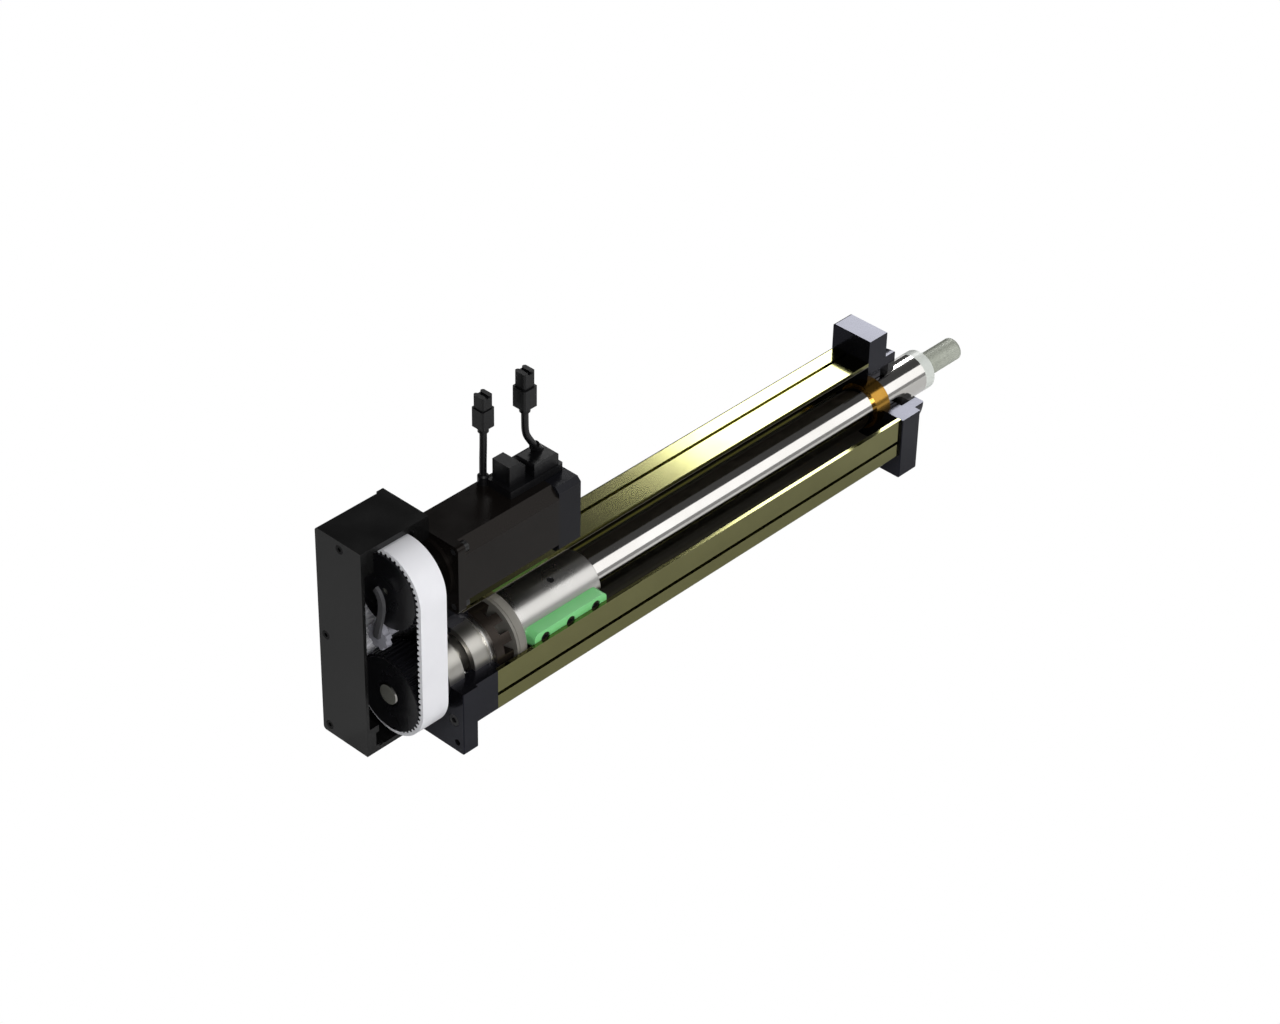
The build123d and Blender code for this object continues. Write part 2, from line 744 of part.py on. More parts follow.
with BuildPart() as rod_end_cap:
    add_ring(rod_cap_x, rod_cap_length, rod_radius)
    chamfer(rod_end_cap.faces().sort_by(Axis.X)[-1].edges(), rod_cap_chamfer)
    add_ring(rod_cap_x - rod_plug_length, rod_plug_length, rod_bore_radius - seat_gap)
    cut_bore(rod_cap_x, rod_cap_length, stud_seat_radius + seat_gap)
finish(rod_end_cap, "rod_end_cap")

with BuildPart() as rod_stud:
    add_ring(rod_cap_x, rod_cap_length, stud_seat_radius)
    add_ring(rod_cap_x + rod_cap_length, stud_length, stud_radius)
    chamfer(rod_stud.faces().sort_by(Axis.X)[-1].edges(), stud_chamfer)
finish(rod_stud, "rod_stud")


def add_pulley(height, bore_radius):
    """Add one toothed pulley about an axis at a height above the screw."""
    with BuildSketch(Plane.YZ.offset(pulley_x)) as body:
        with Locations((0, height)):
            Circle(belt_inner_radius - pulley_rim_gap)
            Circle(bore_radius, mode=Mode.SUBTRACT)
        foot = belt_tooth_root / 2 + belt_mesh_gap
        tip = belt_tooth_tip / 2 + belt_mesh_gap
        floor = belt_tip_radius - belt_mesh_gap
        groove = [(belt_inner_radius, -foot), (belt_inner_radius, foot), (floor, tip), (floor, -tip)]
        with Locations((0, height)):
            with PolarLocations(0, pulley_teeth):
                Polygon(*groove, align=None, mode=Mode.SUBTRACT)
    extrude(body.sketch, amount=pulley_front_x - pulley_x)


def cut_keyway(height, shaft_radius):
    """Cut the slot for the key in a pulley's bore."""
    with BuildSketch(Plane.YZ.offset(pulley_x)) as slot:
        with Locations((0, height + shaft_radius)):
            Rectangle(key_width + 2 * seat_gap, key_height)
    extrude(slot.sketch, amount=pulley_front_x - pulley_x, mode=Mode.SUBTRACT)


def add_pulley_flanges(height, rear_bore_radius, front_bore_radius):
    """Add the two rim plates of one pulley."""
    rear_plate_x = pulley_x - pulley_flange_thickness
    for start_x, bore_radius in ((rear_plate_x, rear_bore_radius), (pulley_front_x, front_bore_radius)):
        with BuildSketch(Plane.YZ.offset(start_x)) as plate:
            with Locations((0, height)):
                Circle(pulley_flange_radius)
                Circle(bore_radius, mode=Mode.SUBTRACT)
        extrude(plate.sketch, amount=pulley_flange_thickness)


def add_key(height, shaft_radius):
    """Add the key between a shaft and its pulley."""
    with BuildSketch(Plane.XY.offset(height + shaft_radius - key_height)) as outline:
        with Locations(((pulley_x + pulley_front_x) / 2, 0)):
            RectangleRounded(key_length, key_width, key_width / 2 - seat_gap)
    extrude(outline.sketch, amount=key_height + key_height / 2 - seat_gap)


# Toothed pulleys with their rim plates and keys
with BuildPart() as screw_pulley:
    add_pulley(0, journal_radius + seat_gap)
    cut_keyway(0, journal_radius)
finish(screw_pulley, "screw_pulley")

with BuildPart() as screw_pulley_flanges:
    add_pulley_flanges(0, journal_radius + pulley_plate_gap, journal_radius + pulley_plate_gap)
finish(screw_pulley_flanges, "screw_pulley_flanges")

with BuildPart() as screw_key:
    add_key(0, journal_radius)
finish(screw_key, "screw_key")

with BuildPart() as motor_pulley:
    add_pulley(centre_distance, motor_shaft_radius + seat_gap)
    cut_keyway(centre_distance, motor_shaft_radius)
finish(motor_pulley, "motor_pulley")

with BuildPart() as motor_pulley_flanges:
    add_pulley_flanges(centre_distance, end_washer_bore_radius, motor_shaft_radius + pulley_plate_gap)
finish(motor_pulley_flanges, "motor_pulley_flanges")

with BuildPart() as motor_key:
    add_key(centre_distance, motor_shaft_radius)
finish(motor_key, "motor_key")

# Motor shaft
with BuildPart() as motor_shaft:
    with BuildSketch(Plane.YZ.offset(motor_shaft_x)):
        with Locations((0, centre_distance)):
            Circle(motor_shaft_radius)
    extrude(amount=motor_body_x - free_gap - motor_shaft_x)
    chamfer(motor_shaft.faces().sort_by(Axis.X)[0].edges(), journal_chamfer)
    with BuildSketch(Plane.XY.offset(centre_distance + motor_shaft_radius)) as keyway:
        with Locations(((pulley_x + pulley_front_x) / 2, 0)):
            RectangleRounded(key_length + 2 * seat_gap, key_width + 2 * seat_gap, key_width / 2)
    extrude(keyway.sketch, amount=-key_height, mode=Mode.SUBTRACT)
finish(motor_shaft, "motor_shaft")


def loop_outline(radius, mode=Mode.ADD):
    """Draw the belt loop's outline at one radius in the sketch that is being built."""
    with Locations((0, centre_distance / 2)):
        Rectangle(2 * radius, centre_distance, mode=mode)
    with Locations((0, 0), (0, centre_distance)):
        Circle(radius, mode=mode)


# Toothed belt
with BuildPart() as timing_belt:
    with BuildSketch(Plane.YZ.offset(belt_x)):
        loop_outline(belt_outer_radius)
        loop_outline(belt_inner_radius, Mode.SUBTRACT)
        foot = belt_tooth_root / 2
        tip = belt_tooth_tip / 2
        foot_radius = belt_inner_radius + belt_body_inner / 2
        tooth = [(foot_radius, -foot), (foot_radius, foot), (belt_tip_radius, tip), (belt_tip_radius, -tip)]
        tooth_turn = 360 / pulley_teeth
        half_teeth = pulley_teeth // 2
        upper_turns = [tooth_turn * index for index in range(half_teeth + 1)]
        for turn in upper_turns:
            with Locations(Location((0, centre_distance), turn), Location((0, 0), -turn)):
                Polygon(*tooth, align=None)
        straight_teeth = int(round(centre_distance / belt_pitch)) - 1
        for index in range(straight_teeth):
            height = belt_pitch * (index + 1)
            with Locations(Location((0, height), 0), Location((0, height), 180)):
                Polygon(*tooth, align=None)
    extrude(amount=belt_width)
finish(timing_belt, "timing_belt")


def housing_outline(inset, bottom_inset, corner_radius):
    """Draw the belt housing's outline, moved in by an inset, in the sketch that is being built."""
    height = housing_height - inset - bottom_inset
    with Locations((0, housing_middle_z + (bottom_inset - inset) / 2)):
        RectangleRounded(housing_width - 2 * inset, height, corner_radius)


# Belt housing, cut in half to show the drive
with BuildPart() as belt_housing:
    with BuildSketch(Plane.YZ.offset(cover_front_x)) as outer:
        housing_outline(0, 0, housing_corner_radius)
    extrude(outer.sketch, amount=rear_flange_x - cover_front_x)
    with BuildSketch(Plane.YZ.offset(rear_flange_x)) as seat:
        with Locations((0, (motor_seat_above_screw + housing_top_z) / 2)):
            Rectangle(housing_width, housing_top_z - motor_seat_above_screw)
    extrude(seat.sketch, amount=motor_seat_length)
    with BuildSketch(Plane.YZ.offset(cover_front_x)) as inner:
        housing_outline(housing_wall, housing_bottom_wall, housing_corner_radius)
    extrude(inner.sketch, amount=housing_wall_x - cover_front_x, mode=Mode.SUBTRACT)
    cut_bore(housing_wall_x, housing_front_wall, wall_bore_radius)
    cut_bore(housing_wall_x, motor_face_x - housing_wall_x, motor_pilot_radius + seat_gap, centre_distance)
    cut_near_half(cover_front_x, motor_face_x - cover_front_x)
    screw_depth = motor_face_x - housing_wall_x
    cut_holes(housing_wall_x, screw_depth, motor_screw_radius + seat_gap, far_motor_screws)
    with BuildSketch(Plane.YZ.offset(cover_front_x)) as bosses:
        with Locations(*cover_screw_places):
            Circle(cover_boss_radius)
    extrude(bosses.sketch, amount=housing_wall_x - cover_front_x)
    cut_holes(cover_front_x, cover_screw_reach, cover_screw_radius + seat_gap, cover_screw_places)
    with BuildSketch(Plane.YZ.offset(housing_wall_x)) as stud_hole:
        with Locations((tensioner_y, tensioner_z)):
            Circle(tensioner_stud_radius + seat_gap)
    extrude(stud_hole.sketch, amount=housing_front_wall / 2, mode=Mode.SUBTRACT)
finish(belt_housing, "belt_housing")

# Cover on the housing's rear face, cut with it
with BuildPart() as housing_cover:
    with BuildSketch(Plane.YZ.offset(housing_rear_x)) as outer:
        housing_outline(0, 0, housing_corner_radius)
    extrude(outer.sketch, amount=cover_depth)
    with BuildSketch(Plane.YZ.offset(cover_front_x)) as inner:
        inner_low = -housing_below_screw + cover_end_land
        inner_high = housing_top_z - cover_top_land
        with Locations((0, (inner_low + inner_high) / 2)):
            Rectangle(housing_width - 2 * housing_wall, inner_high - inner_low)
        with Locations(*side_cover_screws):
            Circle(cover_boss_radius, mode=Mode.SUBTRACT)
    extrude(inner.sketch, amount=-(cover_depth - cover_plate), mode=Mode.SUBTRACT)
    with BuildSketch(Plane.YZ.offset(cover_front_x)) as recess:
        with Locations((0, -housing_below_screw + cover_end_land / 2)):
            Rectangle(housing_width - 4 * housing_wall, cover_end_land / 2)
    extrude(recess.sketch, amount=-cover_seal_groove, mode=Mode.SUBTRACT)
    cut_holes(housing_rear_x, cover_depth, cover_screw_radius + seat_gap, cover_screw_places)
    head_seat_depth = cover_screw_head_height + seat_gap
    cut_holes(housing_rear_x, head_seat_depth, cover_screw_head_radius + free_gap, cover_screw_places)
    cut_near_half(housing_rear_x, cover_depth)
finish(housing_cover, "housing_cover")

with BuildPart() as cover_screws:
    add_screws(
        housing_rear_x + seat_gap,
        cover_screw_head_height,
        cover_screw_head_radius,
        cover_depth - cover_screw_head_height + cover_screw_reach - free_gap,
        cover_screw_radius,
        cover_hex_radius,
        cover_hex_depth,
        cover_screw_places,
        1,
    )
finish(cover_screws, "cover_screws")

# Belt tensioner: a stud in the front wall, a knurled knob and a locking lever
knob_x = belt_x - tensioner_setback
with BuildPart() as tensioner_stud:
    with BuildSketch(Plane.YZ.offset(knob_x + tensioner_knob_length)):
        with Locations((tensioner_y, tensioner_z)):
            Circle(tensioner_stud_radius)
    extrude(amount=housing_wall_x + housing_front_wall / 2 - knob_x - tensioner_knob_length)
finish(tensioner_stud, "tensioner_stud")

with BuildPart() as tensioner_knob:
    with BuildSketch(Plane.YZ.offset(knob_x)):
        with Locations((tensioner_y, tensioner_z)):
            Circle(tensioner_knob_radius)
        with Locations((tensioner_y, tensioner_z)):
            with PolarLocations(tensioner_knob_radius + tensioner_scallop_radius / 3, tensioner_scallops):
                Circle(tensioner_scallop_radius, mode=Mode.SUBTRACT)
    extrude(amount=tensioner_knob_length)
finish(tensioner_knob, "tensioner_knob")

with BuildPart() as tensioner_lever:
    with BuildSketch(Plane.YZ.offset(knob_x)):
        with BuildLine():
            Spline(*[(tensioner_y + y, tensioner_z + z) for y, z in tensioner_lever_course])
        trace(line_width=tensioner_lever_width)
    extrude(amount=-tensioner_lever_thickness)
finish(tensioner_lever, "tensioner_lever")


def motor_outline(side, corner, is_round):
    """Draw a square outline about the motor axis in the sketch that is being built."""
    with Locations((0, centre_distance)):
        outline = RectangleRounded(side, side, corner) if is_round else Rectangle(side, side)
    if not is_round:
        chamfer(outline.vertices(), corner)


# Motor: flange, body and encoder cover
with BuildPart() as motor_flange:
    with BuildSketch(Plane.YZ.offset(motor_face_x)) as outline:
        motor_outline(motor_side, motor_flange_corner, True)
    extrude(outline.sketch, amount=motor_flange_length)
    with BuildSketch(Plane.YZ.offset(motor_face_x)) as pilot:
        with Locations((0, centre_distance)):
            Circle(motor_pilot_radius)
    extrude(pilot.sketch, amount=-motor_pilot_length)
    shaft_bore_length = motor_flange_length + motor_pilot_length
    shaft_bore_x = motor_face_x - motor_pilot_length
    cut_bore(shaft_bore_x, shaft_bore_length, motor_shaft_radius + running_gap, centre_distance)
    screw_hole_radius = motor_screw_radius + seat_gap
    cut_holes(motor_face_x, motor_flange_length, screw_hole_radius, far_motor_screws + near_motor_screws)
finish(motor_flange, "motor_flange")

with BuildPart() as motor_body:
    with BuildSketch(Plane.YZ.offset(motor_body_x)) as outline:
        motor_outline(motor_side - 2 * motor_body_inset, motor_body_chamfer, False)
    extrude(outline.sketch, amount=motor_body_length)
    pocket_length = motor_screw_head_height + free_gap
    pocket_radius = motor_screw_head_radius + free_gap
    cut_holes(motor_body_x, pocket_length, pocket_radius, far_motor_screws + near_motor_screws)
finish(motor_body, "motor_body")

with BuildPart() as encoder_cover:
    with BuildSketch(Plane.YZ.offset(encoder_x)) as outline:
        motor_outline(motor_side - 2 * encoder_inset, encoder_chamfer, False)
    extrude(outline.sketch, amount=encoder_length)
    chamfer(encoder_cover.faces().sort_by(Axis.X)[-1].edges(), encoder_inset)
finish(encoder_cover, "encoder_cover")

with BuildPart() as motor_screws:
    for places, shank in (
        (far_motor_screws, motor_face_x + motor_flange_length - housing_wall_x - free_gap),
        (near_motor_screws, motor_flange_length),
    ):
        add_screws(
            motor_body_x + motor_screw_head_height,
            motor_screw_head_height,
            motor_screw_head_radius,
            shank,
            motor_screw_radius,
            cover_hex_radius,
            cover_hex_depth,
            places,
            -1,
        )
finish(motor_screws, "motor_screws")

# Outlets on top of the motor
plinth_x = encoder_x + encoder_length - plinth_setback - plinth_length
power_lead_x = plinth_x + power_lead_setback
encoder_lead_x = plinth_x + encoder_lead_setback
plinth_top_z = motor_top_z + plinth_height
with BuildPart() as outlet_plinth:
    with BuildSketch(Plane.XY.offset(motor_top_z)):
        with Locations((plinth_x, plinth_near_y)):
            Rectangle(plinth_length, plinth_far_y - plinth_near_y, align=(Align.MIN, Align.MIN))
    extrude(amount=plinth_height)
    fillet(outlet_plinth.edges().filter_by(Axis.Z), plug_chamfer)
finish(outlet_plinth, "outlet_plinth")

with BuildPart() as power_outlet:
    with BuildSketch(Plane.XY.offset(plinth_top_z)):
        with Locations((plinth_x + power_outlet_setback, -power_outlet_width / 2 + 1)):
            Rectangle(power_outlet_length, power_outlet_width, align=(Align.MIN, Align.MIN))
    extrude(amount=power_outlet_height)
    chamfer(power_outlet.faces().sort_by(Axis.Z)[-1].edges().sort_by(Axis.X)[-1], power_outlet_chamfer)
finish(power_outlet, "power_outlet")

with BuildPart() as encoder_outlet:
    with BuildSketch(Plane.XY.offset(plinth_top_z)):
        with Locations((plinth_x + encoder_outlet_setback, encoder_outlet_far_y)):
            Rectangle(encoder_outlet_length, encoder_outlet_width, align=(Align.MIN, Align.MAX))
    extrude(amount=encoder_outlet_height)
    chamfer(encoder_outlet.faces().sort_by(Axis.Z)[-1].edges(), plug_chamfer)
finish(encoder_outlet, "encoder_outlet")

with BuildPart() as power_gland:
    with BuildSketch(Plane.XY.offset(motor_top_z)):
        with Locations((power_lead_x, power_lead_y)):
            Circle(gland_radius)
    extrude(amount=gland_height)
    chamfer(power_gland.faces().sort_by(Axis.Z)[-1].edges(), plug_chamfer)
finish(power_gland, "power_gland")


def bend_radii(route):
    """Choose each bend's radius: close to the longest that both of its straight runs leave room for."""
    radii = []
    for before, corner, after in zip(route, route[1:], route[2:]):
        run_in = Vector(*corner) - Vector(*before)
        run_out = Vector(*after) - Vector(*corner)
        half_turn = math.radians(run_in.get_angle(run_out) / 2)
        radii.append(0.45 * min(run_in.length, run_out.length) / math.tan(half_turn))
    return radii


def add_lead(route, label):
    """Add one motor lead along its route and print its bend radii and length."""
    radii = bend_radii(route)
    with BuildLine() as path:
        FilletPolyline(*route, radius=radii)
    route_wire = path.wire()
    with BuildSketch(Plane(origin=route_wire @ 0, z_dir=route_wire % 0)) as section:
        Circle(lead_radius)
    sweep(section.sketch, path=route_wire)
    length = route_wire.length
    print(label, "radii", [round(radius, 1) for radius in radii], "length", round(length, 2))


def add_plug(place, side, height, nose, nose_height):
    """Add a lead's plug: a round collar, a square body and a smaller nose on top."""
    x, y, z = place
    with BuildSketch(Plane.XY.offset(z)) as collar:
        with Locations((x, y)):
            Circle(collar_radius)
    extrude(collar.sketch, amount=collar_height)
    with BuildSketch(Plane.XY.offset(z + collar_height)) as neck:
        with Locations((x, y)):
            Circle(neck_radius)
    extrude(neck.sketch, amount=neck_height)
    body_z = z + collar_height + neck_height
    with BuildSketch(Plane.XY.offset(body_z)) as body:
        with Locations((x, y)):
            Rectangle(side, side)
    extrude(body.sketch, amount=height)
    with BuildSketch(Plane.XY.offset(body_z + height)) as tip:
        with Locations((x, y)):
            Rectangle(nose, nose)
    extrude(tip.sketch, amount=nose_height)
    with BuildSketch(Plane.XY.offset(body_z + height + nose_height)) as notch:
        with Locations((x, y)):
            Rectangle(plug_notch_width, nose)
    extrude(notch.sketch, amount=-plug_notch_depth, mode=Mode.SUBTRACT)


# Motor leads: hand-chosen corner points of each route, from outlet to plug
power_base_z = motor_top_z + gland_height
power_route = [
    (power_lead_x, power_lead_y, power_base_z),
    (power_lead_x, power_lead_y, power_base_z + 12),
    (power_lead_x + 0.6, power_lead_y, power_base_z + 26),
    (power_lead_x + 0.6, power_lead_y, power_base_z + 38),
]
encoder_base_z = plinth_top_z + encoder_outlet_height
encoder_route = [
    (encoder_lead_x - 2.9, encoder_lead_y, encoder_base_z + 5.2),
    (encoder_lead_x - 9.2, encoder_lead_y, encoder_base_z + 14.6),
    (encoder_lead_x - 12.2, encoder_lead_y, encoder_base_z + 21.6),
    (encoder_lead_x - 12.6, encoder_lead_y, encoder_base_z + 31),
    (encoder_lead_x - 12.6, encoder_lead_y, encoder_base_z + 40.6),
]

# Boot of the encoder lead, leaning with it
with BuildPart() as encoder_gland:
    boot_run = Vector(*encoder_route[1]) - Vector(*encoder_route[0])
    with BuildSketch(Plane(origin=encoder_route[0], z_dir=tuple(boot_run))):
        Circle(collar_radius)
    extrude(amount=-2 * gland_height)
    with BuildSketch(Plane.XY.offset(encoder_base_z)) as below:
        with Locations((encoder_lead_x, encoder_lead_y)):
            Rectangle(encoder_outlet_length, encoder_outlet_length)
    extrude(below.sketch, amount=-2 * gland_height, mode=Mode.SUBTRACT)
finish(encoder_gland, "encoder_gland")

with BuildPart() as lead_power:
    add_lead(power_route, "lead_power")
finish(lead_power, "lead_power")

with BuildPart() as lead_encoder:
    add_lead(encoder_route, "lead_encoder")
finish(lead_encoder, "lead_encoder")

with BuildPart() as power_plug:
    add_plug(power_route[-1], power_plug_side, power_plug_height, power_plug_nose, power_plug_nose_height)
    chamfer(power_plug.edges().filter_by(Axis.Z), plug_chamfer)
finish(power_plug, "power_plug")

with BuildPart() as encoder_plug:
    add_plug(
        encoder_route[-1], encoder_plug_side, encoder_plug_height, encoder_plug_nose, encoder_plug_nose_height
    )
    chamfer(encoder_plug.edges().filter_by(Axis.Z), plug_chamfer)
finish(encoder_plug, "encoder_plug")
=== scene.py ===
"""Looks of a cut-away electric cylinder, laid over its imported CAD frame.

Every length is in metres, in the frame of the CAD model: the origin is at the centre of the front
flange's face, +X runs along the rod and +Z is up.
"""
from __future__ import annotations

import logging
import math
from dataclasses import dataclass
from enum import Enum

import bpy
from mathutils import Matrix, Vector


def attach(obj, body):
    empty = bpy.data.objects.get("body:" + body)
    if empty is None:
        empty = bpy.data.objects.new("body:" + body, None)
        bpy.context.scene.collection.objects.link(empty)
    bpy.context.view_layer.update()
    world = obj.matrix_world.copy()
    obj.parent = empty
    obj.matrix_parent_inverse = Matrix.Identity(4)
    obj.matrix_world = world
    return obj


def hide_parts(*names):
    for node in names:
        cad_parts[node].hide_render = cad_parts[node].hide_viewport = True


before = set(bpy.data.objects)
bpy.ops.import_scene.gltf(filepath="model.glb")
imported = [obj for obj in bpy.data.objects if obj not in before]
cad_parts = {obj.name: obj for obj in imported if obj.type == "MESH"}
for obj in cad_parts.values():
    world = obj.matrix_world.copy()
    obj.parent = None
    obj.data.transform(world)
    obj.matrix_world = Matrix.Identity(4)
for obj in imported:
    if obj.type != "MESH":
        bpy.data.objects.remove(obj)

LOG = logging.getLogger("cylinder")

Colour = tuple[float, float, float]
Point = tuple[float, float, float]
Ring = tuple[float, float, bool]


class Grain(Enum):
    """How a surface was made, as how densely its fine marks lie along X, Y and Z."""

    FINE = (900.0, 900.0, 900.0)
    DRAWN = (18.0, 1400.0, 1400.0)
    TURNED = (1800.0, 30.0, 30.0)
    MOULDED = (420.0, 420.0, 420.0)


class Way(Enum):
    """Which side of a node group a socket is on."""

    IN = "INPUT"
    OUT = "OUTPUT"


class Kind(Enum):
    """What a node group's socket carries."""

    NUMBER = "NodeSocketFloat"
    COLOUR = "NodeSocketColor"
    VECTOR = "NodeSocketVector"


@dataclass(frozen=True)
class BoreShade:
    """Painted shade inside a bore about the rod's axis: a darker, less metallic surface standing in for the
    shade inside the tube.
    """

    radius: float
    colour: Colour
    metallic: float


@dataclass(frozen=True)
class Finish:
    """One finish of the cylinder's pieces, with its two near colours, gloss, fine marks and any painted shade
    inside a bore.
    """

    name: str
    colour: Colour
    second_colour: Colour
    roughness: float
    metallic: float = 0.0
    grain: Grain = Grain.FINE
    bump: float = 0.15
    roughness_swing: float = 0.08
    specular: float = 0.5
    tint: Colour = (1.0, 1.0, 1.0)
    # painted shade inside a bore, for the finishes that have one
    bore: BoreShade | None = None


BARREL_OLIVE = Finish(
    name="barrel olive anodising",
    colour=(0.205, 0.2, 0.083),
    second_colour=(0.19, 0.185, 0.076),
    roughness=0.118,
    metallic=1.0,
    grain=Grain.DRAWN,
    bump=0.006,
    roughness_swing=0.015,
    # painted shade: the barrel's bore is coloured dark and less metallic, standing in for the shade inside
    # the tube
    bore=BoreShade(radius=0.0344, colour=(0.06, 0.055, 0.045), metallic=0.1),
)
FLANGE_BLACK = Finish(
    name="flange black",
    colour=(0.003, 0.003, 0.004),
    second_colour=(0.005, 0.005, 0.006),
    roughness=0.16,
    bump=0.04,
    roughness_swing=0.04,
    specular=0.245,
    tint=(0.64, 0.67, 1.0),
)
HOUSING_BLACK = Finish(
    name="housing black",
    colour=(0.0028, 0.0028, 0.0028),
    second_colour=(0.0042, 0.0042, 0.0042),
    roughness=0.22,
    grain=Grain.MOULDED,
    bump=0.06,
    roughness_swing=0.06,
    specular=0.27,
)
MOTOR_BLACK = Finish(
    name="motor black",
    colour=(0.004, 0.0032, 0.0028),
    second_colour=(0.0055, 0.0045, 0.004),
    roughness=0.22,
    grain=Grain.MOULDED,
    bump=0.06,
    roughness_swing=0.06,
    specular=0.15,
    tint=(1.0, 0.92, 0.86),
)
ENCODER_BLACK = Finish(
    name="encoder cover black",
    colour=(0.0035, 0.0035, 0.005),
    second_colour=(0.005, 0.005, 0.007),
    roughness=0.24,
    grain=Grain.MOULDED,
    bump=0.06,
    roughness_swing=0.06,
    specular=0.15,
    tint=(0.9, 0.92, 1.0),
)
PLUG_BLACK = Finish(
    name="plug black",
    colour=(0.003, 0.003, 0.0035),
    second_colour=(0.0045, 0.0045, 0.005),
    roughness=0.3,
    grain=Grain.MOULDED,
    bump=0.1,
    specular=0.26,
)
LEAD_BLACK = Finish(
    name="lead sheath black",
    colour=(0.003, 0.003, 0.0035),
    second_colour=(0.0045, 0.0045, 0.005),
    roughness=0.3,
    bump=0.08,
    specular=0.3,
)
ROD_CHROME = Finish(
    name="rod chrome",
    colour=(0.68, 0.665, 0.645),
    second_colour=(0.64, 0.625, 0.6),
    roughness=0.1,
    metallic=1.0,
    grain=Grain.TURNED,
    bump=0.02,
    roughness_swing=0.03,
)
PISTON_STEEL = Finish(
    name="piston steel",
    colour=(0.58, 0.57, 0.55),
    second_colour=(0.54, 0.53, 0.51),
    roughness=0.27,
    metallic=1.0,
    grain=Grain.TURNED,
    bump=0.04,
    roughness_swing=0.05,
)
BEARING_STEEL = Finish(
    name="bearing steel",
    colour=(0.5, 0.485, 0.45),
    second_colour=(0.45, 0.435, 0.4),
    roughness=0.36,
    metallic=1.0,
    grain=Grain.TURNED,
    bump=0.06,
    roughness_swing=0.06,
)
BALL_STEEL = Finish(
    name="ball steel",
    colour=(0.75, 0.75, 0.74),
    second_colour=(0.7, 0.7, 0.69),
    roughness=0.1,
    metallic=1.0,
    bump=0.01,
    roughness_swing=0.02,
)
CAGE_STEEL = Finish(
    name="cage steel",
    colour=(0.3, 0.285, 0.26),
    second_colour=(0.24, 0.225, 0.2),
    roughness=0.32,
    metallic=0.9,
    bump=0.08,
)
DISC_GREY = Finish(
    name="guide disc grey",
    colour=(0.22, 0.21, 0.185),
    second_colour=(0.19, 0.18, 0.16),
    roughness=0.4,
    metallic=0.3,
    grain=Grain.TURNED,
    bump=0.05,
)
WEAR_GREY = Finish(
    name="wear ring grey",
    colour=(0.2, 0.19, 0.165),
    second_colour=(0.17, 0.16, 0.14),
    roughness=0.45,
    bump=0.06,
)
RETAINER_BROWN = Finish(
    name="retainer dark oxide",
    colour=(0.035, 0.026, 0.02),
    second_colour=(0.024, 0.018, 0.014),
    roughness=0.3,
    metallic=0.7,
    grain=Grain.TURNED,
    bump=0.06,
)
PAD_GREEN = Finish(
    name="guide pad green",
    colour=(0.2, 0.62, 0.23),
    second_colour=(0.18, 0.57, 0.205),
    roughness=0.36,
    grain=Grain.MOULDED,
    bump=0.05,
)
BUSH_AMBER = Finish(
    name="bush bronze",
    colour=(0.46, 0.25, 0.045),
    second_colour=(0.38, 0.2, 0.035),
    roughness=0.2,
    metallic=1.0,
    grain=Grain.TURNED,
    bump=0.03,
)
SEAL_BLACK = Finish(
    name="wiper seal rubber",
    colour=(0.03, 0.03, 0.032),
    second_colour=(0.02, 0.02, 0.022),
    roughness=0.55,
    bump=0.1,
)
CAP_WHITE = Finish(
    name="rod end white",
    colour=(0.69, 0.72, 0.68),
    second_colour=(0.65, 0.68, 0.64),
    roughness=0.35,
    grain=Grain.TURNED,
    bump=0.03,
)
STUD_GREY = Finish(
    name="stud zinc grey",
    colour=(0.43, 0.45, 0.39),
    second_colour=(0.39, 0.41, 0.35),
    roughness=0.4,
    metallic=0.2,
    grain=Grain.TURNED,
    bump=0.03,
)
SCREW_STEEL = Finish(
    name="ground screw steel",
    colour=(0.46, 0.45, 0.43),
    second_colour=(0.4, 0.39, 0.37),
    roughness=0.24,
    metallic=1.0,
    grain=Grain.TURNED,
    bump=0.04,
)
BOLT_BLACK = Finish(
    name="bolt black oxide",
    colour=(0.02, 0.02, 0.021),
    second_colour=(0.03, 0.03, 0.031),
    roughness=0.32,
    metallic=0.6,
    bump=0.06,
)
BELT_WHITE = Finish(
    name="belt polyurethane",
    colour=(0.77, 0.77, 0.8),
    second_colour=(0.74, 0.74, 0.77),
    roughness=0.4,
    grain=Grain.MOULDED,
    bump=0.04,
)
PULLEY_BLACK = Finish(
    name="pulley black",
    colour=(0.0035, 0.0035, 0.0045),
    second_colour=(0.005, 0.005, 0.006),
    roughness=0.34,
    grain=Grain.TURNED,
    bump=0.04,
    specular=0.14,
)
RIM_GREY = Finish(
    name="pulley rim grey",
    colour=(0.005, 0.005, 0.006),
    second_colour=(0.008, 0.008, 0.009),
    roughness=0.28,
    grain=Grain.TURNED,
    bump=0.04,
    specular=0.3,
)
SHAFT_GREY = Finish(
    name="shaft end grey",
    colour=(0.13, 0.13, 0.115),
    second_colour=(0.11, 0.11, 0.097),
    roughness=0.35,
    metallic=0.1,
    grain=Grain.TURNED,
    bump=0.04,
)
LEVER_GREY = Finish(
    name="lever dark grey",
    colour=(0.09, 0.09, 0.095),
    second_colour=(0.075, 0.075, 0.08),
    roughness=0.4,
    metallic=0.3,
    bump=0.08,
)
COVER_SCREW_BLACK = Finish(
    name="cover screw black",
    colour=(0.002, 0.002, 0.002),
    second_colour=(0.003, 0.003, 0.003),
    roughness=0.4,
    bump=0.05,
    specular=0.1,
)
TENSIONER_GREY = Finish(
    name="tensioner grey",
    colour=(0.3, 0.3, 0.34),
    second_colour=(0.27, 0.27, 0.305),
    roughness=0.42,
    metallic=0.1,
    bump=0.06,
)
SUPPORT_IVORY = Finish(
    name="support bush ivory",
    colour=(0.5, 0.47, 0.38),
    second_colour=(0.45, 0.42, 0.34),
    roughness=0.5,
    bump=0.08,
)


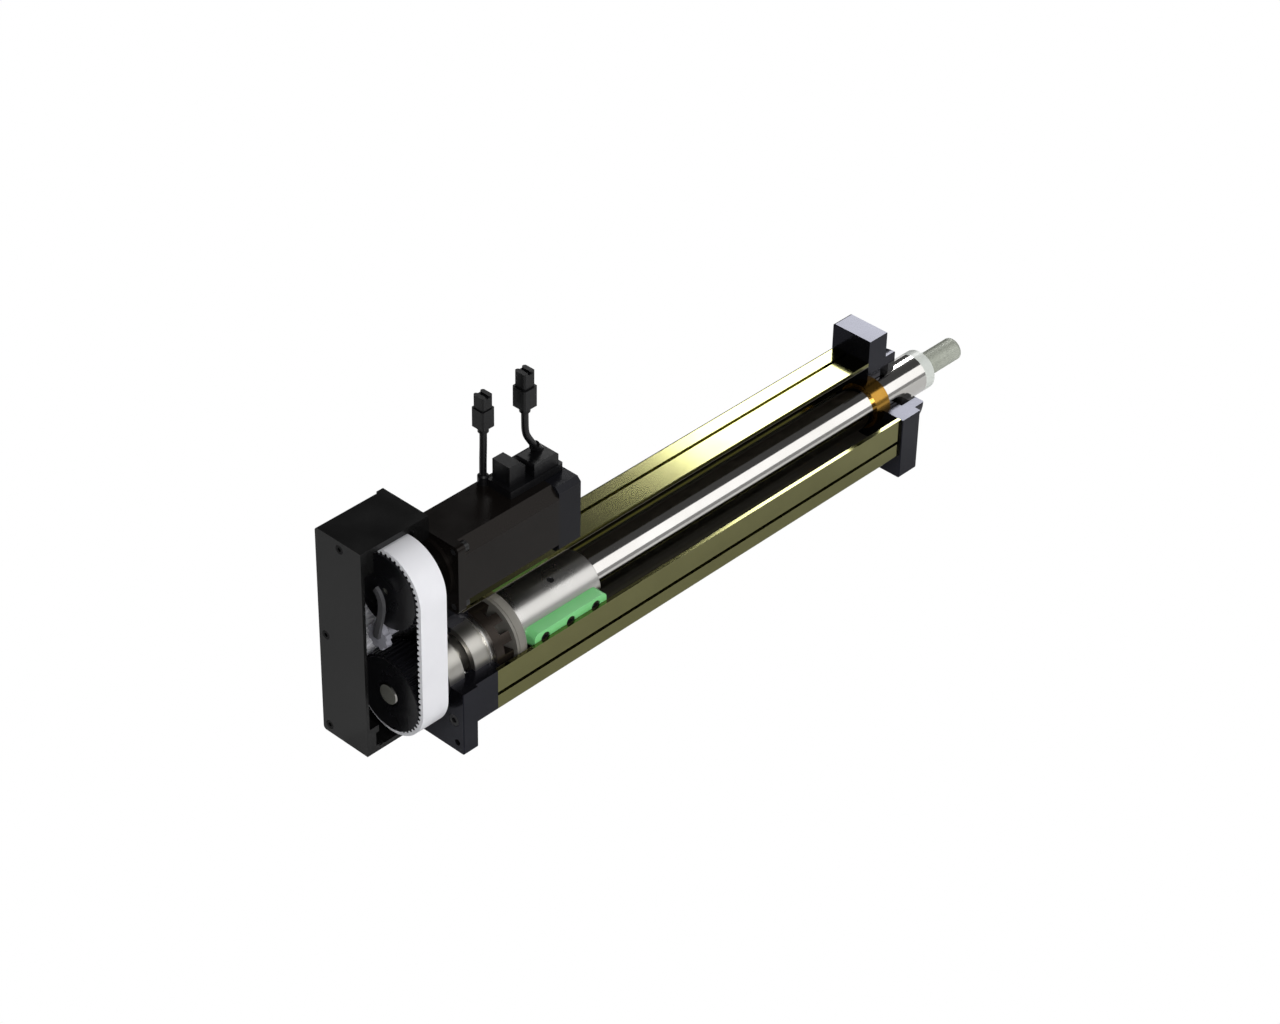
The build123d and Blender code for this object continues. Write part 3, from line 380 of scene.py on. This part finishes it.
class EffectGroups:
    """Shader node groups that several finishes share."""

    fine_detail = 4.0
    slow_scale = 28.0
    slow_detail = 3.0
    tone_low = 0.35
    tone_high = 0.65

    def __init__(self) -> None:
        """Build each shared group once."""
        self.marks = self._build_marks()
        self.tones = self._build_tones()
        self.bores = self._build_bores()

    @staticmethod
    def _open_group(
        name: str, sockets: dict[str, tuple[Way, Kind]]
    ) -> tuple[bpy.types.NodeTree, bpy.types.Node, bpy.types.Node]:
        """Start a group with its named sockets.

        Args:
            name: The group's name.
            sockets: Each socket's side and kind by its name.

        Returns:
            The group, the node its inputs come from and the node its outputs go to.
        """
        group = bpy.data.node_groups.new(name, "ShaderNodeTree")
        for label, (way, kind) in sockets.items():
            group.interface.new_socket(name=label, in_out=way.value, socket_type=kind.value)
        return group, group.nodes.new("NodeGroupInput"), group.nodes.new("NodeGroupOutput")

    def _build_marks(self) -> bpy.types.NodeTree:
        """Build the fine marks left by drawing, turning or moulding.

        Returns:
            A group that puts out a height for bump and a slow mask for tone.
        """
        sockets = {
            "Stretch": (Way.IN, Kind.VECTOR),
            "Height": (Way.OUT, Kind.NUMBER),
            "Mask": (Way.OUT, Kind.NUMBER),
        }
        group, entry, leave = self._open_group("fine marks", sockets)
        nodes, links = group.nodes, group.links
        place = nodes.new("ShaderNodeTexCoord")
        stretch = nodes.new("ShaderNodeVectorMath")
        stretch.operation = "MULTIPLY"
        fine = nodes.new("ShaderNodeTexNoise")
        fine.inputs["Scale"].default_value = 1.0
        fine.inputs["Detail"].default_value = self.fine_detail
        slow = nodes.new("ShaderNodeTexNoise")
        slow.inputs["Scale"].default_value = self.slow_scale
        slow.inputs["Detail"].default_value = self.slow_detail
        links.new(place.outputs["Object"], stretch.inputs[0])
        links.new(entry.outputs["Stretch"], stretch.inputs[1])
        links.new(stretch.outputs[0], fine.inputs["Vector"])
        links.new(place.outputs["Object"], slow.inputs["Vector"])
        links.new(fine.outputs["Fac"], leave.inputs["Height"])
        links.new(slow.outputs["Fac"], leave.inputs["Mask"])
        return group

    def _build_tones(self) -> bpy.types.NodeTree:
        """Build the slight unevenness of a finish's colour and gloss.

        Returns:
            A group that puts out a colour and a roughness from a mask.
        """
        sockets = {
            "Mask": (Way.IN, Kind.NUMBER),
            "First": (Way.IN, Kind.COLOUR),
            "Second": (Way.IN, Kind.COLOUR),
            "Smoothest": (Way.IN, Kind.NUMBER),
            "Roughest": (Way.IN, Kind.NUMBER),
            "Colour": (Way.OUT, Kind.COLOUR),
            "Roughness": (Way.OUT, Kind.NUMBER),
        }
        group, entry, leave = self._open_group("uneven tone", sockets)
        nodes, links = group.nodes, group.links
        spread = nodes.new("ShaderNodeMapRange")
        spread.inputs["From Min"].default_value = self.tone_low
        spread.inputs["From Max"].default_value = self.tone_high
        blend = nodes.new("ShaderNodeMix")
        blend.data_type = "RGBA"
        gloss = nodes.new("ShaderNodeMapRange")
        links.new(entry.outputs["Mask"], spread.inputs["Value"])
        links.new(spread.outputs["Result"], blend.inputs["Factor"])
        links.new(entry.outputs["First"], blend.inputs["A"])
        links.new(entry.outputs["Second"], blend.inputs["B"])
        links.new(spread.outputs["Result"], gloss.inputs["Value"])
        links.new(entry.outputs["Smoothest"], gloss.inputs["To Min"])
        links.new(entry.outputs["Roughest"], gloss.inputs["To Max"])
        links.new(blend.outputs["Result"], leave.inputs["Colour"])
        links.new(gloss.outputs["Result"], leave.inputs["Roughness"])
        return group

    def _build_bores(self) -> bpy.types.NodeTree:
        """Build the mask of what lies inside a bore about the rod's axis, where painted shade goes.

        Returns:
            A group that puts out 1 inside the bore's radius and 0 outside it.
        """
        sockets = {"Radius": (Way.IN, Kind.NUMBER), "Mask": (Way.OUT, Kind.NUMBER)}
        group, entry, leave = self._open_group("inside bore", sockets)
        nodes, links = group.nodes, group.links
        place = nodes.new("ShaderNodeTexCoord")
        flatten = nodes.new("ShaderNodeVectorMath")
        flatten.operation = "MULTIPLY"
        flatten.inputs[1].default_value = (0.0, 1.0, 1.0)
        reach = nodes.new("ShaderNodeVectorMath")
        reach.operation = "LENGTH"
        inside = nodes.new("ShaderNodeMath")
        inside.operation = "LESS_THAN"
        links.new(place.outputs["Object"], flatten.inputs[0])
        links.new(flatten.outputs["Vector"], reach.inputs[0])
        links.new(reach.outputs["Value"], inside.inputs[0])
        links.new(entry.outputs["Radius"], inside.inputs[1])
        links.new(inside.outputs[0], leave.inputs["Mask"])
        return group


class FinishShop:
    """Makes one material per finish and dresses objects in it."""

    bump_distance = 0.0003
    least_roughness = 0.02

    def __init__(self) -> None:
        """Build the shared groups and an empty shelf of materials."""
        self.groups = EffectGroups()
        self.shelf: dict[str, bpy.types.Material] = {}

    def material(self, finish: Finish) -> bpy.types.Material:
        """Make a finish's material, or take it from the shelf.

        Args:
            finish: The finish to make.

        Returns:
            The material.
        """
        if finish.name not in self.shelf:
            self.shelf[finish.name] = self._mix(finish)
        return self.shelf[finish.name]

    def _mix(self, finish: Finish) -> bpy.types.Material:
        """Build the node tree of one finish.

        Args:
            finish: The finish to build.

        Returns:
            The new material.
        """
        material = bpy.data.materials.new(finish.name)
        material.use_nodes = True
        nodes, links = material.node_tree.nodes, material.node_tree.links
        shader = nodes["Principled BSDF"]
        shader.inputs["Metallic"].default_value = finish.metallic
        shader.inputs["Specular IOR Level"].default_value = finish.specular
        shader.inputs["Specular Tint"].default_value = (*finish.tint, 1.0)
        marks = nodes.new("ShaderNodeGroup")
        marks.node_tree = self.groups.marks
        marks.inputs["Stretch"].default_value = finish.grain.value
        half_swing = finish.roughness_swing / 2
        tones = nodes.new("ShaderNodeGroup")
        tones.node_tree = self.groups.tones
        tones.inputs["First"].default_value = (*finish.colour, 1.0)
        tones.inputs["Second"].default_value = (*finish.second_colour, 1.0)
        tones.inputs["Smoothest"].default_value = max(self.least_roughness, finish.roughness - half_swing)
        tones.inputs["Roughest"].default_value = finish.roughness + half_swing
        bump = nodes.new("ShaderNodeBump")
        bump.inputs["Strength"].default_value = finish.bump
        bump.inputs["Distance"].default_value = self.bump_distance
        links.new(marks.outputs["Mask"], tones.inputs["Mask"])
        links.new(tones.outputs["Colour"], shader.inputs["Base Color"])
        links.new(tones.outputs["Roughness"], shader.inputs["Roughness"])
        links.new(marks.outputs["Height"], bump.inputs["Height"])
        links.new(bump.outputs["Normal"], shader.inputs["Normal"])
        # painted shade inside the bore, for finishes that have one
        if finish.bore:
            self._paint_bore_shade(material.node_tree, finish, tones)
        return material

    def _paint_bore_shade(self, tree: bpy.types.NodeTree, finish: Finish, tones: bpy.types.Node) -> None:
        """Give a finish its painted shade inside a bore: a darker colour and a lower metallic there.

        Args:
            tree: The material's node tree.
            finish: The finish, which has a bore.
            tones: The node that puts out the finish's colour.
        """
        nodes, links = tree.nodes, tree.links
        shader = nodes["Principled BSDF"]
        mask = nodes.new("ShaderNodeGroup")
        mask.node_tree = self.groups.bores
        mask.inputs["Radius"].default_value = finish.bore.radius
        # painted shade: inside the bore the colour turns dark and the finish less metallic, standing in for
        # the shade inside the tube
        colour = nodes.new("ShaderNodeMix")
        colour.data_type = "RGBA"
        colour.inputs["B"].default_value = (*finish.bore.colour, 1.0)
        metal = nodes.new("ShaderNodeMapRange")
        metal.inputs["To Min"].default_value = finish.metallic
        metal.inputs["To Max"].default_value = finish.bore.metallic
        links.new(mask.outputs["Mask"], colour.inputs["Factor"])
        links.new(tones.outputs["Colour"], colour.inputs["A"])
        links.new(colour.outputs["Result"], shader.inputs["Base Color"])
        links.new(mask.outputs["Mask"], metal.inputs["Value"])
        links.new(metal.outputs["Result"], shader.inputs["Metallic"])

    def dress(self, thing: bpy.types.Object, finish: Finish) -> None:
        """Put a finish on an object's every slot.

        Args:
            thing: The object.
            finish: Its finish.
        """
        material = self.material(finish)
        if not thing.material_slots:
            thing.data.materials.append(material)
            return
        for slot in thing.material_slots:
            slot.material = material


@dataclass(frozen=True)
class Lead:
    """One motor lead: a round cord from its outlet to its plug."""

    node: str
    plug: str
    points: tuple[Point, ...]
    length: float
    diameter: float = 0.0056
    bevel_steps: int = 6
    curve_steps: int = 16

    def _lay_curve(self) -> bpy.types.Curve:
        """Lay the lead's points as one smooth round curve.

        Returns:
            The curve.
        """
        curve = bpy.data.curves.new(f"{self.node}_sheath", "CURVE")
        curve.dimensions = "3D"
        curve.bevel_depth = self.diameter / 2
        curve.bevel_resolution = self.bevel_steps
        curve.resolution_u = self.curve_steps
        curve.use_fill_caps = True
        spline = curve.splines.new("NURBS")
        spline.points.add(len(self.points) - 1)
        for knot, point in zip(spline.points, self.points):
            knot.co = (*point, 1.0)
        spline.order_u = 3
        spline.use_endpoint_u = True
        return curve

    def build(self, shop: FinishShop) -> bpy.types.Object:
        """Args:
            shop: The shop that makes its sheath's material.

        Returns:
            The lead's curve object.
        """
        sheath = bpy.data.objects.new(f"{self.node}_sheath", self._lay_curve())
        bpy.context.scene.collection.objects.link(sheath)
        shop.dress(sheath, LEAD_BLACK)
        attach(sheath, "frame")
        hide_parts(self.node)
        return sheath


@dataclass(frozen=True)
class ThreadedRod:
    """A turned rod with a right-hand helical groove over part of its length."""

    node: str
    body: str
    slot: str
    finish: Finish
    end_finish: Finish
    stations: tuple[tuple[float, float], ...]
    thread_start: float
    thread_end: float
    lead: float
    depth: float
    groove_share: float
    steps_per_lead: int
    sides: int = 40

    def _groove(self, turn: float) -> float:
        """Find the groove's depth at one place along its lead.

        Args:
            turn: The place as a share of the lead, from 0 to 1.

        Returns:
            The depth below the crest.
        """
        reach = abs(turn - 0.5) / (self.groove_share / 2)
        return self.depth * math.sqrt(1.0 - reach * reach) if reach < 1.0 else 0.0

    def _rings(self) -> list[Ring]:
        """List the rod's rings along X.

        Returns:
            Each ring's place, its plain radius and whether the groove runs through it.
        """
        threaded = self.thread_end - self.thread_start
        count = round(threaded / self.lead * self.steps_per_lead)
        step = threaded / count
        rings = []
        for (start, radius), (end, _) in zip(self.stations, self.stations[1:]):
            rings.append((start, radius, False))
            if start <= self.thread_start and end >= self.thread_end:
                rings += [(self.thread_start + ring * step, radius, True) for ring in range(count + 1)]
            rings.append((end, radius, False))
        return rings

    def _points(self, rings: list[Ring]) -> list[Point]:
        """Find the points round every ring.

        Args:
            rings: The rod's rings.

        Returns:
            The points, ring by ring.
        """
        points = []
        for place, radius, grooved in rings:
            for side in range(self.sides):
                angle = 2 * math.pi * side / self.sides
                turn = (place / self.lead - side / self.sides) % 1.0
                reach = radius - (self._groove(turn) if grooved else 0.0)
                points.append((place, reach * math.cos(angle), reach * math.sin(angle)))
        return points

    def _faces(self, ring_count: int) -> list[tuple[int, ...]]:
        """List the faces between the rings, and then the two ends.

        Args:
            ring_count: How many rings the rod has.

        Returns:
            Each face as its points' numbers, with the two ends last.
        """
        faces = []
        for ring in range(ring_count - 1):
            first, second = ring * self.sides, (ring + 1) * self.sides
            for side in range(self.sides):
                after = (side + 1) % self.sides
                faces.append((first + side, first + after, second + after, second + side))
        last = (ring_count - 1) * self.sides
        faces.append(tuple(range(self.sides - 1, -1, -1)))
        faces.append(tuple(range(last, last + self.sides)))
        return faces

    def build(self, shop: FinishShop) -> bpy.types.Object:
        """Build the rod's mesh in place of its plain CAD node.

        Args:
            shop: The shop that makes its materials.

        Returns:
            The new object.
        """
        rings = self._rings()
        faces = self._faces(len(rings))
        mesh = bpy.data.meshes.new(f"{self.node}_thread")
        mesh.from_pydata(self._points(rings), [], faces)
        for face in mesh.polygons:
            face.use_smooth = face.index < len(faces) - 2
            face.material_index = 0 if face.use_smooth else 1
        mesh.materials.append(shop.material(self.finish))
        mesh.materials.append(shop.material(self.end_finish))
        mesh.update()
        piece = bpy.data.objects.new(f"{self.node}_thread", mesh)
        bpy.context.scene.collection.objects.link(piece)
        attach(piece, self.body)
        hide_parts(self.node)
        return piece


class SubAssembly:
    """A group of the cylinder's pieces that is dressed and built together."""

    def finishes(self) -> dict[Finish, tuple[str, ...]]:
        """List the CAD nodes that each finish goes on."""
        return {}

    def made_pieces(self, shop: FinishShop) -> list[bpy.types.Object]:
        """Build what Blender makes here, which is nothing unless a sub-assembly says so."""
        return []

    def build(self, shop: FinishShop) -> None:
        """Dress the CAD nodes, build what Blender makes and report each piece.

        Args:
            shop: The shop that makes the materials.
        """
        for finish, names in self.finishes().items():
            for name in names:
                shop.dress(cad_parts[name], finish)
                LOG.info("%s: %s in %s", type(self).__name__, name, finish.name)
        for piece in self.made_pieces(shop):
            LOG.info("%s: %s made", type(self).__name__, piece.name)


class BarrelGroup(SubAssembly):
    """The cut-open barrel with its flanges, bearing block, rod bush and seal."""

    def finishes(self) -> dict[Finish, tuple[str, ...]]:
        """List the CAD nodes that each finish goes on."""
        return {
            BARREL_OLIVE: ("barrel",),
            FLANGE_BLACK: ("front_flange", "rear_flange", "bearing_block"),
            BOLT_BLACK: ("rear_flange_bolts", "front_flange_bolts"),
            BUSH_AMBER: ("rod_bush",),
            SEAL_BLACK: ("wiper_seal",),
        }


class BearingSet(SubAssembly):
    """The screw's two ball bearings and what holds them."""

    def finishes(self) -> dict[Finish, tuple[str, ...]]:
        """List the CAD nodes that each finish goes on."""
        rings = [f"{place}_bearing_{side}_ring" for place in ("rear", "front") for side in ("outer", "inner")]
        return {
            BEARING_STEEL: (*rings, "inner_spacer", "shaft_lock_nut"),
            BALL_STEEL: ("rear_bearing_balls", "front_bearing_balls"),
            CAGE_STEEL: ("rear_bearing_cage", "front_bearing_cage"),
            RETAINER_BROWN: ("bearing_retainer",),
            PISTON_STEEL: ("retainer_washer",),
        }


@dataclass(frozen=True)
class ScrewDrive(SubAssembly):
    """The ball screw with its thread, its key and the bush at its free end."""

    thread: ThreadedRod = ThreadedRod(
        node="ball_screw",
        body="screw",
        slot="screw_ground",
        finish=SCREW_STEEL,
        end_finish=SHAFT_GREY,
        stations=((-0.5602, 0.0083), (-0.559, 0.0095), (-0.481, 0.0125), (-0.074, 0.009), (-0.062, 0.009)),
        thread_start=-0.4785,
        thread_end=-0.0765,
        lead=0.01,
        depth=0.0016,
        groove_share=0.58,
        steps_per_lead=16,
    )

    def finishes(self) -> dict[Finish, tuple[str, ...]]:
        """List the CAD nodes that each finish goes on."""
        return {SCREW_STEEL: ("ball_screw", "screw_key"), SUPPORT_IVORY: ("screw_support_bush",)}

    def made_pieces(self, shop: FinishShop) -> list[bpy.types.Object]:
        """Build the threaded screw."""
        return [self.thread.build(shop)]


@dataclass(frozen=True)
class PistonAndRod(SubAssembly):
    """What slides: the piston, its nut, guides and pads, and the rod with its end."""

    thread: ThreadedRod = ThreadedRod(
        node="rod_stud",
        body="rod",
        slot="stud_steel",
        finish=STUD_GREY,
        end_finish=STUD_GREY,
        stations=((0.035, 0.0085), (0.047, 0.01), (0.0875, 0.01), (0.089, 0.0085)),
        thread_start=0.0485,
        thread_end=0.0868,
        lead=0.0015,
        depth=0.0003,
        groove_share=0.8,
        steps_per_lead=8,
    )

    def finishes(self) -> dict[Finish, tuple[str, ...]]:
        """List the CAD nodes that each finish goes on."""
        return {
            PISTON_STEEL: ("piston", "ball_nut"),
            DISC_GREY: ("guide_disc",),
            WEAR_GREY: ("wear_ring",),
            PAD_GREEN: ("guide_pad_near", "guide_pad_far"),
            BOLT_BLACK: ("pad_screws", "set_screw"),
            ROD_CHROME: ("rod_tube",),
            CAP_WHITE: ("rod_end_cap",),
            STUD_GREY: ("rod_stud",),
        }

    def made_pieces(self, shop: FinishShop) -> list[bpy.types.Object]:
        """Build the threaded stud."""
        return [self.thread.build(shop)]


class BeltDrive(SubAssembly):
    """The belt housing, its cover, the two pulleys, the belt and its tensioner."""

    def finishes(self) -> dict[Finish, tuple[str, ...]]:
        """List the CAD nodes that each finish goes on."""
        return {
            HOUSING_BLACK: ("belt_housing", "housing_cover"),
            COVER_SCREW_BLACK: ("cover_screws",),
            PULLEY_BLACK: ("screw_pulley", "motor_pulley"),
            RIM_GREY: ("screw_pulley_flanges", "motor_pulley_flanges"),
            BELT_WHITE: ("timing_belt",),
            TENSIONER_GREY: ("tensioner_stud", "tensioner_knob"),
            LEVER_GREY: ("tensioner_lever",),
            SCREW_STEEL: ("motor_key",),
        }


@dataclass(frozen=True)
class ServoMotor(SubAssembly):
    """The servo motor with its encoder cover, outlets and two short leads."""

    power_lead: Lead = Lead(
        node="lead_power",
        plug="power_plug",
        points=(
            (-0.4455, 0.0162, 0.1326),
            (-0.4455, 0.0162, 0.1446),
            (-0.4449, 0.0162, 0.1586),
            (-0.4449, 0.0162, 0.1706),
        ),
        length=0.03801,
    )
    encoder_lead: Lead = Lead(
        node="lead_encoder",
        plug="encoder_plug",
        points=(
            (-0.4074, 0.0013, 0.1468),
            (-0.4137, 0.0013, 0.1562),
            (-0.4167, 0.0013, 0.1632),
            (-0.4171, 0.0013, 0.1726),
            (-0.4171, 0.0013, 0.1822),
        ),
        length=0.03784,
    )

    def finishes(self) -> dict[Finish, tuple[str, ...]]:
        """List the CAD nodes that each finish goes on."""
        outlets = [f"{use}_{piece}" for use in ("power", "encoder") for piece in ("outlet", "gland", "plug")]
        return {
            MOTOR_BLACK: ("motor_flange", "motor_body"),
            ENCODER_BLACK: ("encoder_cover",),
            PLUG_BLACK: ("outlet_plinth", *outlets),
            BOLT_BLACK: ("motor_screws",),
            SHAFT_GREY: ("motor_shaft",),
        }

    def made_pieces(self, shop: FinishShop) -> list[bpy.types.Object]:
        """Build the two leads."""
        return [lead.build(shop) for lead in (self.power_lead, self.encoder_lead)]


@dataclass(frozen=True)
class Lamp:
    """One soft area lamp of the studio."""

    name: str
    place: Point
    aim: Point
    size: tuple[float, float]
    watts: float

    def hang(self) -> None:
        """Hang the lamp at its place, facing its aim."""
        light = bpy.data.lights.new(self.name, "AREA")
        light.shape = "RECTANGLE"
        light.size, light.size_y = self.size
        light.energy = self.watts
        holder = bpy.data.objects.new(self.name, light)
        holder.location = self.place
        look = Vector(self.aim) - Vector(self.place)
        holder.rotation_euler = look.to_track_quat("-Z", "Y").to_euler()
        bpy.context.scene.collection.objects.link(holder)


@dataclass(frozen=True)
class Studio:
    """The camera, lamps and floor of the picture."""

    eye: Point = (-1.8621, -1.4553, 1.5986)
    right: Point = (0.68977, -0.72379, 0.0184)
    down: Point = (-0.41828, -0.41911, -0.80585)
    forward: Point = (0.59098, 0.54816, -0.59184)
    focal_pixels: float = 3430.97
    image_width: float = 1280.0
    sensor: float = 36.0
    far_clip: float = 50.0
    floor_z: float = -0.058
    floor_half_side: float = 6.0
    floor_colour: Colour = (0.88, 0.88, 0.88)
    floor_roughness: float = 0.9
    room_strength: float = 0.07
    lamps: tuple[Lamp, ...] = (
        Lamp("near strip", place=(1.1, -1.389, 1.145), aim=(1.1, 0.0, 0.0), size=(2.2, 1.6), watts=15.5),
        Lamp("horizon strip", place=(1.4, -2.3, 0.27), aim=(1.4, 0.0, 0.1), size=(2.8, 0.6), watts=1.4),
        Lamp("far softbox", place=(1.56, 1.2, 1.3), aim=(1.56, 1.2, 0.0), size=(0.9, 0.8), watts=31.0),
        Lamp("camera key", place=(-1.5, -1.9, 1.2), aim=(-0.25, 0.0, 0.05), size=(0.9, 0.9), watts=30.0),
        Lamp("floor wash", place=(-1.0, -1.2, 1.7), aim=(-0.3, -0.1, 0.0), size=(0.8, 0.8), watts=11.0),
    )

    def place_camera(self) -> None:
        """Set the camera where the photograph was taken from."""
        lens = bpy.data.cameras.new("photo camera")
        lens.sensor_width = self.sensor
        lens.lens = self.sensor * self.focal_pixels / self.image_width
        lens.clip_end = self.far_clip
        camera = bpy.data.objects.new("photo camera", lens)
        bpy.context.scene.collection.objects.link(camera)
        columns = (Vector(self.right), -Vector(self.down), -Vector(self.forward))
        turn = Matrix(columns).transposed().to_4x4()
        camera.matrix_world = Matrix.Translation(self.eye) @ turn
        bpy.context.scene.camera = camera

    def light_world(self) -> None:
        """Give the world a plain soft light that the camera sees as white."""
        world = bpy.data.worlds.new("white room")
        bpy.context.scene.world = world
        world.use_nodes = True
        nodes, links = world.node_tree.nodes, world.node_tree.links
        nodes.clear()
        path = nodes.new("ShaderNodeLightPath")
        room = nodes.new("ShaderNodeBackground")
        room.inputs["Color"].default_value = (1.0, 1.0, 1.0, 1.0)
        room.inputs["Strength"].default_value = self.room_strength
        seen = nodes.new("ShaderNodeBackground")
        seen.inputs["Color"].default_value = (1.0, 1.0, 1.0, 1.0)
        seen.inputs["Strength"].default_value = 1.0
        choose = nodes.new("ShaderNodeMixShader")
        leave = nodes.new("ShaderNodeOutputWorld")
        links.new(path.outputs["Is Camera Ray"], choose.inputs["Fac"])
        links.new(room.outputs[0], choose.inputs[1])
        links.new(seen.outputs[0], choose.inputs[2])
        links.new(choose.outputs[0], leave.inputs["Surface"])

    def _floor_material(self) -> bpy.types.Material:
        """Mix the floor's material, which lights the object as a pale floor and looks white.

        Returns:
            The material.
        """
        material = bpy.data.materials.new("floor white")
        material.use_nodes = True
        nodes, links = material.node_tree.nodes, material.node_tree.links
        shader = nodes["Principled BSDF"]
        shader.inputs["Base Color"].default_value = (*self.floor_colour, 1.0)
        shader.inputs["Roughness"].default_value = self.floor_roughness
        shader.inputs["Specular IOR Level"].default_value = 0.0
        glow = nodes.new("ShaderNodeEmission")
        glow.inputs["Color"].default_value = (1.0, 1.0, 1.0, 1.0)
        glow.inputs["Strength"].default_value = 1.0
        path = nodes.new("ShaderNodeLightPath")
        choose = nodes.new("ShaderNodeMixShader")
        links.new(path.outputs["Is Camera Ray"], choose.inputs["Fac"])
        links.new(shader.outputs[0], choose.inputs[1])
        links.new(glow.outputs[0], choose.inputs[2])
        links.new(choose.outputs[0], nodes["Material Output"].inputs["Surface"])
        return material

    def lay_floor(self) -> None:
        """Lay a plain pale floor under the cylinder."""
        half = self.floor_half_side
        mesh = bpy.data.meshes.new("floor")
        corners = [(x * half, y * half, self.floor_z) for x, y in ((-1, -1), (1, -1), (1, 1), (-1, 1))]
        mesh.from_pydata(corners, [], [(0, 1, 2, 3)])
        mesh.materials.append(self._floor_material())
        floor = bpy.data.objects.new("floor", mesh)
        bpy.context.scene.collection.objects.link(floor)

    def build(self) -> None:
        """Set up the whole studio."""
        bpy.context.scene.view_settings.view_transform = "Standard"
        self.place_camera()
        self.light_world()
        self.lay_floor()
        for lamp in self.lamps:
            lamp.hang()
            LOG.info("Studio: %s hung", lamp.name)


def main() -> None:
    logging.basicConfig(level=logging.INFO, format="%(name)s: %(message)s")
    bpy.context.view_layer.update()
    shop = FinishShop()
    for group in (BarrelGroup(), BearingSet(), ScrewDrive(), PistonAndRod(), BeltDrive(), ServoMotor()):
        group.build(shop)
    Studio().build()


if __name__ == "__main__":
    main()
